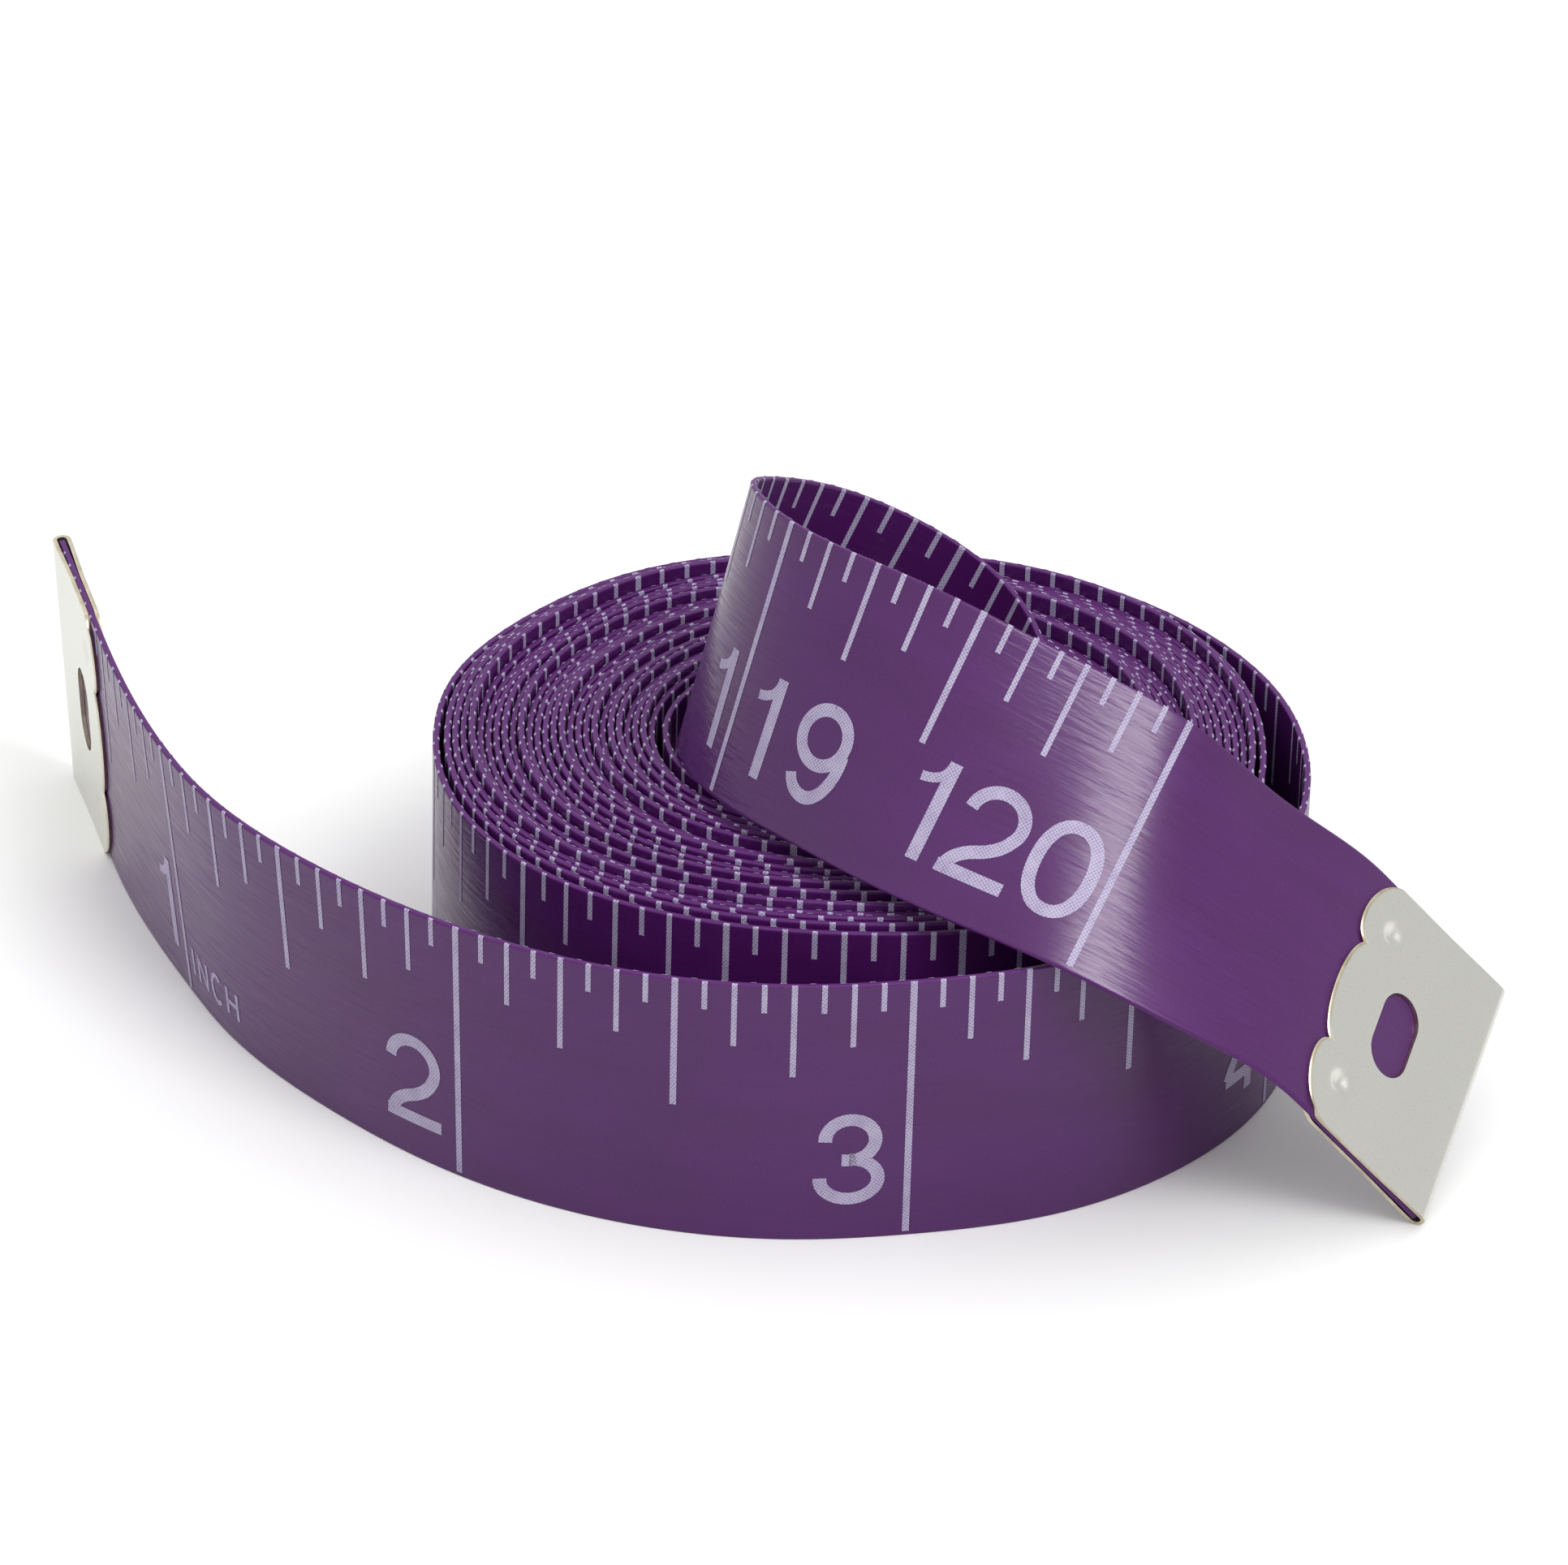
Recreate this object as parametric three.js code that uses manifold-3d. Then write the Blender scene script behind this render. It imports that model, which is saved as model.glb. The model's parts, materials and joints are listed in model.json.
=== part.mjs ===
// A sewing tape measure lying loosely rolled: one long printed vinyl tape and the two folded metal
// clips that close its ends. Millimetres, +Z up, the tape standing on its lower edge.
//
// The tape is one strip on the real thing. It is modelled as the stretches between the places
// where it bends freely, in the order of the inches printed on it:
//   tape_lead_end, tape_lead, tape_coil, tape_riser, tape_tail.
// Seen from above every stretch runs anticlockwise as the inches count up.

import * as THREE from 'three';
import Module from 'manifold-3d';
import { mergeVertices } from 'three/addons/utils/BufferGeometryUtils.js';

// The tape.
const TAPE_WIDTH = 15.875;
const TAPE_THICKNESS = 0.36;
const STRETCH_GAP = 0.3; // between the ends of two neighbouring stretches

// The coil: its outline is a rounded oval, its bore a circle on the same axis.
const COIL_HALF_LENGTH = 23.35;
const COIL_HALF_DEPTH = 21.85;
const COIL_OVAL_POWER = 2.2; // 2 would be an ellipse, more is squarer
const BORE_RADIUS = 10.4;
const COIL_FULL_LOOPS = 14;
const STEPS_PER_LOOP = 24;
const COIL_START_ANGLE = 90; // degrees, where the lead goes over into the coil
const COIL_END_ANGLE = 215; // degrees, where the innermost loop starts to climb

// The lead: the outer end of the tape, which stands away from the coil.
const LEAD_END_OFFSET = 27; // how far its very end stands off the coil's side
const LEAD_END_ANGLE = -205.3;
const LEAD_END_HEADING = -74.3; // degrees, from the end back along the clip
const LEAD_STEPS = 40;
const LEAD_END_STEPS = 44;
const LEAD_HINGE_ANGLE = -82;
// Each row: angle round the coil in degrees, stand-off as a share of the spread.
const LEAD_STANDOFF_SHARES = [
  [-175, 0.5],
  [-167.6, 0.439],
  [-150, 0.315],
  [-133.4, 0.261],
  [-115, 0.237],
  [-96, 0.215],
  [LEAD_HINGE_ANGLE, 0.185],
  [-64, 0.161],
  [-46, 0.13],
  [-29, 0.107],
  [0, 0.078],
  [17, 0.05],
  [32, 0.026],
  [60, 0.011],
  [75, 0.003],
];

// The riser and the tail: the inner end of the tape, which climbs out of the bore, turns back
// over the coil and comes down to the surface in front of it.
// Each row: the lower edge's place, as shares of the coil's half length, of its half depth and of
// the tape's width, then how far the upper edge leans in X and in Y, as shares of the tape's width.
const RISER_SHARES = [
  [-0.12, -0.37, 0.025, -0.06, -0.05],
  [0.16, -0.3, 0.084, -0.12, -0.17],
  [0.362, -0.115, 0.171, -0.066, -0.255],
  [0.373, 0.15, 0.285, 0.07, -0.28],
  [0.204, 0.34, 0.418, 0.312, -0.179],
  [-0.041, 0.391, 0.573, 0.416, 0.021],
  [-0.273, 0.326, 0.745, 0.406, 0.148],
  [-0.388, 0.098, 0.9, 0.306, 0.246],
];
const FOLD_SHARES = [-0.4, -0.18, 1.03, 0.229, 0.265]; // the riser's end and the tail's start
const TAIL_SHARES = [
  [-0.32, -0.446, 1.09, 0.257, 0.273],
  [-0.16, -0.68, 1.118, 0.313, 0.322],
  [0.014, -0.896, 1.133, 0.401, 0.471],
  [0.249, -1.071, 1.102, 0.415, 0.612],
  [0.494, -1.193, 1.033, 0.404, 0.716],
  [0.74, -1.226, 0.863, 0.329, 0.83],
];
const TAIL_END_SHARES = [1.345, -1.117, 0.012, 0.3, 0.865]; // the lower corner of its very end
const TAIL_END_SLOPE_SHARES = [0.65, 0.117, -0.75]; // direction along the tape in the far clip
const RISER_STEPS = 36;
const TAIL_STEPS = 40;
const LENGTH_DIVISIONS = 60; // between two knots of a path, to measure along it

// The end clips: sheet metal folded round the end of the tape.
const CLIP_SHEET_THICKNESS = 0.3;
const CLIP_SLACK_GAP = 0.15; // between the tape and each leaf
const CLIP_SIDE_LENGTH = 8.6; // from the fold to where the scalloped edge starts at the sides
const CLIP_NOTCH_LENGTH = 9.8;
const CLIP_SIDE_LOBE_LENGTH = 10.7;
const CLIP_MIDDLE_LOBE_LENGTH = 11;
const CLIP_NOTCH_SHARE = 0.21; // of the width, from the middle to each notch
const CLIP_SLOT_LENGTH = 5;
const CLIP_SLOT_WIDTH = 2.8;
const CLIP_SLOT_DISTANCE = 6.2; // from the fold to the slot's middle
const CLIP_DIMPLE_RADIUS = 0.6;
const CLIP_DIMPLE_DEPTH = 0.12;
const CLIP_DIMPLE_DISTANCE = 8.6; // from the fold
const CLIP_DIMPLE_SHARE = 0.32; // of the width, from the middle
const CLIP_STRAIGHT_LENGTH = 1; // tape that stays straight past the clip's edge
const LOBE_CONTROL_SHARE = 0.2; // how far a side lobe's shoulder lies from its notch
const OVERRUN_LENGTH = 1; // how far a cut reaches past what it cuts
const ARC_STEPS = 10;
const BALL_STEPS = 16;

const radians = THREE.MathUtils.degToRad;

const vinyl = new THREE.MeshStandardMaterial({ color: 0x5b2c6b, roughness: 0.42, metalness: 0 });
const steel = new THREE.MeshStandardMaterial({ color: 0xbfc2b8, roughness: 0.38, metalness: 0.85 });

// The coil's outline at an angle round its axis, as a distance from the axis.
function outlineRadius(angle) {
  const across = Math.abs(Math.cos(angle)) / COIL_HALF_LENGTH;
  const along = Math.abs(Math.sin(angle)) / COIL_HALF_DEPTH;
  return (across ** COIL_OVAL_POWER + along ** COIL_OVAL_POWER) ** (-1 / COIL_OVAL_POWER);
}

function polar(angle, radius) {
  return new THREE.Vector3(Math.cos(angle) * radius, Math.sin(angle) * radius, 0);
}

// A station is one cross-section of the tape: the middle of its lower edge, the direction across
// the tape's width, and the direction through its thickness.
function coilStation(turned) {
  const angle = radians(COIL_START_ANGLE) + turned;
  const outer = outlineRadius(angle) - TAPE_THICKNESS / 2;
  const inner = BORE_RADIUS + TAPE_THICKNESS / 2;
  const radius = outer + (inner - outer) * (turned / coilTurn);
  return { foot: polar(angle, radius), across: new THREE.Vector3(0, 0, 1), through: polar(angle, 1) };
}

// A stretch of tape that follows a curve through foot points, with a direction across the tape at
// each of them. Distances are measured along the curve from its first point.
function tapePath(feet, acrosses) {
  const footCurve = new THREE.CatmullRomCurve3(feet, false, 'centripetal');
  const acrossCurve = new THREE.CatmullRomCurve3(acrosses, false, 'centripetal');
  footCurve.arcLengthDivisions = (feet.length - 1) * LENGTH_DIVISIONS;
  const lengths = footCurve.getLengths();
  const whole = lengths[lengths.length - 1];
  const stationAt = (distance) => {
    const knot = footCurve.getUtoTmapping(distance / whole);
    const across = acrossCurve.getPoint(knot).normalize();
    const through = new THREE.Vector3().crossVectors(footCurve.getTangent(knot), across);
    return { foot: footCurve.getPoint(knot), across, through: through.normalize() };
  };
  return {
    whole,
    distanceTo: (knot) => lengths[knot * LENGTH_DIVISIONS],
    stations: (from, to, steps) =>
      Array.from({ length: steps + 1 }, (_, i) => stationAt(from + ((to - from) * i) / steps)),
  };
}

// A strip of tape through its stations: one closed body with a rectangular section.
function stripGeometry(stations) {
  const half = TAPE_THICKNESS / 2;
  const positions = [];
  for (const { foot, across, through } of stations) {
    const outer = foot.clone().addScaledVector(through, half);
    const inner = foot.clone().addScaledVector(through, -half);
    const innerTop = inner.clone().addScaledVector(across, TAPE_WIDTH);
    const outerTop = outer.clone().addScaledVector(across, TAPE_WIDTH);
    for (const corner of [outer, inner, innerTop, outerTop]) {
      positions.push(corner.x, corner.y, corner.z);
    }
  }
  const index = [];
  const corners = 4;
  for (let i = 0; i + 1 < stations.length; i += 1) {
    for (let k = 0; k < corners; k += 1) {
      const a = i * corners + k;
      const b = i * corners + ((k + 1) % corners);
      index.push(a, b, b + corners, a, b + corners, a + corners);
    }
  }
  const last = (stations.length - 1) * corners;
  index.push(0, 2, 1, 0, 3, 2, last, last + 1, last + 2, last, last + 2, last + 3);
  const geometry = new THREE.BufferGeometry();
  geometry.setAttribute('position', new THREE.Float32BufferAttribute(positions, 3));
  geometry.setIndex(index);
  geometry.computeVertexNormals();
  return geometry;
}

// The least clear distance between one loop of the coil and the next, from the inner corner of
// each section to the straight sides of the neighbouring loop.
function leastCoilGap(stations) {
  const half = TAPE_THICKNESS / 2;
  let least = Infinity;
  for (let i = 0; i + STEPS_PER_LOOP + 1 < stations.length; i += 1) {
    const inside = stations[i].foot.clone().addScaledVector(stations[i].through, -half);
    for (const next of [i + STEPS_PER_LOOP - 1, i + STEPS_PER_LOOP]) {
      const [a, b] = [stations[next], stations[next + 1]];
      const side = new THREE.Line3(
        a.foot.clone().addScaledVector(a.through, half),
        b.foot.clone().addScaledVector(b.through, half),
      );
      const nearest = side.closestPointToPoint(inside, true, new THREE.Vector3());
      least = Math.min(least, nearest.distanceTo(inside));
    }
  }
  return least;
}

// Tells a place on the tape's path from a row of shares.
function shareFoot([x, y, z]) {
  return new THREE.Vector3(x * COIL_HALF_LENGTH, y * COIL_HALF_DEPTH, z * TAPE_WIDTH);
}

function shareAcross(row) {
  const [leanX, leanY] = row.slice(-2);
  return new THREE.Vector3(leanX, leanY, Math.sqrt(1 - leanX ** 2 - leanY ** 2));
}

// The coil.
const coilTurn = radians(360 * COIL_FULL_LOOPS + COIL_END_ANGLE - COIL_START_ANGLE);
const coilSteps = Math.round((STEPS_PER_LOOP * coilTurn) / (2 * Math.PI));
const coilStartTrim = STRETCH_GAP / 2 / COIL_HALF_DEPTH;
const coilEndTrim = STRETCH_GAP / 2 / BORE_RADIUS;
const coilStations = Array.from({ length: coilSteps + 1 }, (_, i) =>
  coilStation(coilStartTrim + ((coilTurn - coilStartTrim - coilEndTrim) * i) / coilSteps),
);
console.log('least gap between loops of the coil, mm:', leastCoilGap(coilStations).toFixed(3));

// The lead, from its very end round to the coil. It ends straight, inside its clip.
const clipRun = CLIP_MIDDLE_LOBE_LENGTH + CLIP_STRAIGHT_LENGTH;
const upright = new THREE.Vector3(0, 0, 1);

function leadFoot([degrees, share]) {
  const angle = radians(degrees);
  return polar(angle, outlineRadius(angle) - TAPE_THICKNESS / 2 + LEAD_END_OFFSET * share);
}
const leadEnd = leadFoot([LEAD_END_ANGLE, 1]);
const leadInward = polar(radians(LEAD_END_HEADING), 1);
const leadFeet = [
  leadEnd.clone().addScaledVector(leadInward, clipRun),
  ...LEAD_STANDOFF_SHARES.map(leadFoot),
  coilStation(0).foot,
];
const leadPath = tapePath(leadFeet, leadFeet.map(() => upright));
const leadHingeKnot = 1 + LEAD_STANDOFF_SHARES.findIndex(([degrees]) => degrees === LEAD_HINGE_ANGLE);
const leadHingeDistance = leadPath.distanceTo(leadHingeKnot);
const endInset = CLIP_SHEET_THICKNESS + CLIP_SLACK_GAP;

const leadEndStations = [
  {
    foot: leadEnd.clone().addScaledVector(leadInward, endInset),
    across: upright,
    through: new THREE.Vector3().crossVectors(leadInward, upright),
  },
  ...leadPath.stations(0, leadHingeDistance - STRETCH_GAP / 2, LEAD_END_STEPS),
];
const leadRootStations = leadPath.stations(
  leadHingeDistance + STRETCH_GAP / 2,
  leadPath.whole - STRETCH_GAP / 2,
  LEAD_STEPS,
);

// The riser and the tail, one path from the coil's innermost loop to the far clip.
const tailEnd = shareFoot(TAIL_END_SHARES);
const tailAcross = shareAcross(TAIL_END_SHARES);
const tailSlope = new THREE.Vector3(...TAIL_END_SLOPE_SHARES).normalize();
const tailFeet = [
  coilStation(coilTurn).foot,
  ...RISER_SHARES.map(shareFoot),
  shareFoot(FOLD_SHARES),
  ...TAIL_SHARES.map(shareFoot),
  tailEnd.clone().addScaledVector(tailSlope, -clipRun),
];
const tailAcrosses = [
  upright,
  ...RISER_SHARES.map(shareAcross),
  shareAcross(FOLD_SHARES),
  ...TAIL_SHARES.map(shareAcross),
  tailAcross,
];
const tailPath = tapePath(tailFeet, tailAcrosses);
const foldDistance = tailPath.distanceTo(1 + RISER_SHARES.length);
const riserStations = tailPath.stations(STRETCH_GAP / 2, foldDistance - STRETCH_GAP / 2, RISER_STEPS);
const tailStations = [
  ...tailPath.stations(foldDistance + STRETCH_GAP / 2, tailPath.whole, TAIL_STEPS),
  {
    foot: tailEnd.clone().addScaledVector(tailSlope, -endInset),
    across: tailAcross,
    through: new THREE.Vector3().crossVectors(tailSlope, tailAcross).normalize(),
  },
];

// End clip, drawn with its fold at x = 0, the tape running along +x, its width along y.
const wasm = await Module();
wasm.setup();

function toSolid(geometry) {
  const bare = geometry.clone();
  bare.deleteAttribute('normal');
  bare.deleteAttribute('uv');
  const merged = mergeVertices(bare);
  const vertProperties = new Float32Array(merged.attributes.position.array);
  const triVerts = new Uint32Array(merged.index.array);
  return new wasm.Manifold(new wasm.Mesh({ numProp: 3, vertProperties, triVerts }));
}

function toGeometry(solid) {
  const { vertProperties, triVerts } = solid.getMesh();
  const geometry = new THREE.BufferGeometry();
  geometry.setAttribute('position', new THREE.Float32BufferAttribute(vertProperties, 3));
  geometry.setIndex(new THREE.Uint32BufferAttribute(triVerts, 1));
  geometry.computeVertexNormals();
  return geometry;
}

const leafInside = TAPE_THICKNESS / 2 + CLIP_SLACK_GAP;
const leafOutside = leafInside + CLIP_SHEET_THICKNESS;

// The sheet seen from its side: two leaves and the round fold that joins them.
function foldedSheet() {
  const side = new THREE.Shape();
  side.moveTo(CLIP_MIDDLE_LOBE_LENGTH, leafOutside);
  side.absarc(leafOutside, 0, leafOutside, Math.PI / 2, (Math.PI * 3) / 2, false);
  side.lineTo(CLIP_MIDDLE_LOBE_LENGTH, -leafOutside);
  side.lineTo(CLIP_MIDDLE_LOBE_LENGTH, -leafInside);
  side.absarc(leafOutside, 0, leafInside, (Math.PI * 3) / 2, Math.PI / 2, true);
  side.lineTo(CLIP_MIDDLE_LOBE_LENGTH, leafInside);
  const sheet = new THREE.ExtrudeGeometry(side, {
    depth: TAPE_WIDTH,
    bevelEnabled: false,
    curveSegments: ARC_STEPS,
  });
  sheet.rotateX(Math.PI / 2);
  sheet.translate(0, TAPE_WIDTH / 2, 0);
  return toSolid(sheet);
}

// The sheet seen flat: a straight fold, two sides, three lobes and a slot, cut through both leaves.
function clipOutline() {
  const edge = TAPE_WIDTH / 2 + OVERRUN_LENGTH;
  const half = TAPE_WIDTH / 2;
  const notch = TAPE_WIDTH * CLIP_NOTCH_SHARE;
  const sideReach = lobeControl(CLIP_SIDE_LENGTH, CLIP_NOTCH_LENGTH, CLIP_SIDE_LOBE_LENGTH);
  const middleReach = lobeControl(CLIP_NOTCH_LENGTH, CLIP_NOTCH_LENGTH, CLIP_MIDDLE_LOBE_LENGTH);
  const lobeWidth = half - notch;
  const outline = new THREE.Shape();
  outline.moveTo(-OVERRUN_LENGTH, -edge);
  outline.lineTo(CLIP_SIDE_LENGTH, -edge);
  outline.lineTo(CLIP_SIDE_LENGTH, -half);
  outline.bezierCurveTo(
    sideReach, -half,
    sideReach, -notch - lobeWidth * LOBE_CONTROL_SHARE,
    CLIP_NOTCH_LENGTH, -notch,
  );
  outline.bezierCurveTo(middleReach, -notch, middleReach, notch, CLIP_NOTCH_LENGTH, notch);
  outline.bezierCurveTo(
    sideReach, notch + lobeWidth * LOBE_CONTROL_SHARE,
    sideReach, half,
    CLIP_SIDE_LENGTH, half,
  );
  outline.lineTo(CLIP_SIDE_LENGTH, edge);
  outline.lineTo(-OVERRUN_LENGTH, edge);
  const slot = new THREE.Path();
  const slotReach = (CLIP_SLOT_LENGTH - CLIP_SLOT_WIDTH) / 2;
  slot.absarc(CLIP_SLOT_DISTANCE, slotReach, CLIP_SLOT_WIDTH / 2, 0, Math.PI, false);
  slot.absarc(CLIP_SLOT_DISTANCE, -slotReach, CLIP_SLOT_WIDTH / 2, Math.PI, Math.PI * 2, false);
  outline.holes.push(slot);
  const depth = 2 * (leafOutside + OVERRUN_LENGTH);
  const prism = new THREE.ExtrudeGeometry(outline, {
    depth,
    bevelEnabled: false,
    curveSegments: ARC_STEPS,
  });
  prism.translate(0, 0, -depth / 2);
  return toSolid(prism);
}

// Where a lobe's two control points lie along the clip. Midway, a cubic curve takes an eighth of
// each end and three eighths of each control point, so this puts its middle at the full reach.
function lobeControl(from, to, reach) {
  return (8 * reach - from - to) / 6;
}

// The punch marks that hold the leaves to the tape: shallow round hollows on both outer faces.
function punchMarks() {
  const ball = (CLIP_DIMPLE_RADIUS ** 2 + CLIP_DIMPLE_DEPTH ** 2) / (2 * CLIP_DIMPLE_DEPTH);
  const marks = [];
  for (const sideways of [-1, 1]) {
    for (const face of [-1, 1]) {
      const mark = new THREE.SphereGeometry(ball, BALL_STEPS, BALL_STEPS / 2);
      mark.translate(
        CLIP_DIMPLE_DISTANCE,
        sideways * TAPE_WIDTH * CLIP_DIMPLE_SHARE,
        face * (leafOutside + ball - CLIP_DIMPLE_DEPTH),
      );
      marks.push(toSolid(mark));
    }
  }
  return marks;
}

const clipSolid = punchMarks().reduce(
  (solid, mark) => solid.subtract(mark),
  foldedSheet().intersect(clipOutline()),
);
const clipGeometry = toGeometry(clipSolid);

// Puts a clip on an end of the tape: its fold at the end's lower corner, leaves along the tape.
function endClip(name, foot, inward, across) {
  const clip = new THREE.Mesh(clipGeometry, steel);
  clip.name = name;
  const middle = foot.clone().addScaledVector(across, TAPE_WIDTH / 2);
  const through = new THREE.Vector3().crossVectors(inward, across).normalize();
  clip.applyMatrix4(new THREE.Matrix4().makeBasis(inward, across, through).setPosition(middle));
  return clip;
}

function tapeStretch(name, stations) {
  const stretch = new THREE.Mesh(stripGeometry(stations), vinyl);
  stretch.name = name;
  return stretch;
}

const assembly = new THREE.Group();
assembly.add(
  endClip('zero_end_clip', leadEnd, leadInward, upright),
  tapeStretch('tape_lead_end', leadEndStations),
  tapeStretch('tape_lead', leadRootStations),
  tapeStretch('tape_coil', coilStations),
  tapeStretch('tape_riser', riserStations),
  tapeStretch('tape_tail', tailStations),
  endClip('far_end_clip', tailEnd, tailSlope.clone().negate(), tailAcross),
);

// The origin is the middle of the part's box, on the surface it stands on.
const box = new THREE.Box3().setFromObject(assembly, true);
const centre = box.getCenter(new THREE.Vector3());
assembly.position.set(-centre.x, -centre.y, -box.min.z);

const part = new THREE.Group();
part.add(assembly);

export default part;
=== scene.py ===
"""Looks of a sewing tape measure that lies loosely rolled: the printed tape, its two end clips and the stage.

Shapes are worked out in millimetres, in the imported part's frame. The tape is one ruled surface between its
lower and upper edge, and its print is placed by the run along it, the height across it and the offset out of
its middle.
"""

import json
import math

import bmesh
import bpy
import numpy as np
from bpy.props import FloatProperty, FloatVectorProperty, PointerProperty
from bpy.types import Operator, Panel, PropertyGroup
from mathutils import Matrix, Vector


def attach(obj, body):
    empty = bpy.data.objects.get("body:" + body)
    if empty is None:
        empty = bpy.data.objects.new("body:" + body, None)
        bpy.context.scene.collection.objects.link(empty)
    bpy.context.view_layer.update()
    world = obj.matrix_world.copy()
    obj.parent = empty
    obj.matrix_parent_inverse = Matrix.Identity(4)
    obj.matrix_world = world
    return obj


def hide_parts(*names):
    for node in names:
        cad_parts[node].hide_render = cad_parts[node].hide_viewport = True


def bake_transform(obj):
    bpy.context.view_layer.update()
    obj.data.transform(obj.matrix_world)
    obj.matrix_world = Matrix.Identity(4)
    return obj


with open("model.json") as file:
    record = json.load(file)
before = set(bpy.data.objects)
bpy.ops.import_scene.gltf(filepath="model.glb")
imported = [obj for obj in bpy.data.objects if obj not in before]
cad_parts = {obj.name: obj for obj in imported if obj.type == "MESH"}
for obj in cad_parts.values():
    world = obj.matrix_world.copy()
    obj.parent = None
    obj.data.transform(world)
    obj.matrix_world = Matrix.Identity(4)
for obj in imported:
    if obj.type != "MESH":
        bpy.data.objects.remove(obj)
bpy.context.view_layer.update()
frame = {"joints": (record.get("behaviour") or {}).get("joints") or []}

bl_info = {
    "name": "Sewing Tape Measure",
    "version": (1, 0, 0),
    "blender": (4, 5, 0),
    "location": "View3D > Sidebar > Tape Measure",
    "description": "Builds the looks of a rolled sewing tape measure round its packed part",
    "category": "Object",
}

MM = 0.001
INCH = 25.4

# The photograph's view: its width and its focal length in its own pixels, and the camera's place and turn.
PHOTO_WIDTH, FOCAL_PIXELS, SENSOR_WIDTH = 1932, 10366.0, 36.0
CAMERA_TARGET, CAMERA_DISTANCE = np.array([1.1187, 25.3534, 0.0]), 496.74
CAMERA_ELEVATION, CAMERA_ROLL = math.radians(29.46), math.radians(1.609)
CAMERA_NEAR, CAMERA_FAR = 0.01, 20

# The coil's axis, its rounded oval outline and its bore.
COIL_AXIS = np.array([4.8187, 2.8534])
COIL_HALF_LENGTH, COIL_HALF_DEPTH, COIL_OVAL_POWER, BORE_RADIUS = 23.35, 21.85, 2.2, 10.4
WALL_AT_SIDE = COIL_HALF_LENGTH - BORE_RADIUS
COIL_START_DEGREES, COIL_LOOPS, COIL_LOOP_STATIONS = 90.0, 27, 600
# The first loop's gap from the rest opens after half a loop and is full a quarter into the second.
LOOP_PITCH, FIRST_LOOP_GAP, GAP_OPENS_AT, GAP_FULL_AT = 0.455, 0.62, 0.5, 1.25
# The coil is pressed in a little at its back left: how deep, at which angle and how wide.
DENT_DEPTH, DENT_DEGREES, DENT_WIDTH_DEGREES = 0.75, 145.0, 20.0
# How far each loop has slid up, outermost first, by the share of a turn: back left, front and back right.
RISES = {
    0.1: (0, 0.1, 0.25, 0.3, 0.88, 0.11, 0, 0.28, 0.3, 0.1, 0.52, 0, 0, 0.05,
          0.3, 0.53, 0.1, 0.1, 0.2, 0.5, 0.1, 0.4, 0.4, 0, 0.2, 0.35, 0, 0),
    0.5: (0, 0.22, 0.36, 0.38, 0.77, 0.3, 0.1, 0, 0.52, 0.1, 0.65, 0.2, 0, 0.21,
          0.43, 0.71, 0.2, 0.33, 0, 0.66, 0.2, 0.53, 0.5, 0, 0.29, 0.45, 0, 0),
    0.91: (0.35, 0.8, 0, 0.05, 0.15, 0.25, 0.4, 0.6, 0.95, 0, 0.1, 0.3, 0.5, 0.85,
           0, 0.1, 0.2, 0.35, 0.1, 0.3, 0.1, 0.3, 0.4, 0.1, 0.2, 0.3, 0, 0),
}

# The spacing of a spline's stations, and the places on the coil, in loops, that the two splines also pass.
CURVE_STEP, LEAD_MEETS_COIL, TAIL_LEAVES_COIL = 0.2, (0, 0.03, 0.06, 0.09), (0.04, 0.02, 0)
# The tape runs straight inside a clip, and ends short of its fold.
CLIP_STRAIGHT_LENGTH, TAPE_END_GAP = 12.0, 0.5

# The lead, the outer end of the tape, which stands away from the coil: the angle of its end round the coil's
# axis, its distance off the coil's outline, its heading there, and its upper edge's outward lean.
LEAD_END_DEGREES, LEAD_END_OFFSET, LEAD_END_HEADING, LEAD_END_LEAN = -205.3, 26.5, -74.3, 0.06
LEAD_SEAM_DEGREES = 10.0
# Each row: angle round the coil in degrees, stand-off in millimetres, outward lean of the upper edge.
LEAD_ROWS = (
    (-175, 13.5, 0.105), (-167.6, 11.85, 0.1), (-150, 8.5, 0.07), (-133.4, 7.05, 0.03), (-115, 6.4, 0.01),
    (-96, 5.8, 0), (-82, 5.0, 0), (-64, 4.35, 0), (-46, 3.5, 0), (-29, 2.9, 0),
    (0, 2.1, 0), (17, 1.35, 0), (32, 0.7, 0), (60, 0.3, 0), (75, 0.08, 0),
)
# The zero mark's run from the clip's fold, and how many loops the inches keep their true length on.
ZERO_RUN, TRUE_LOOPS = 0.45, 3

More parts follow.
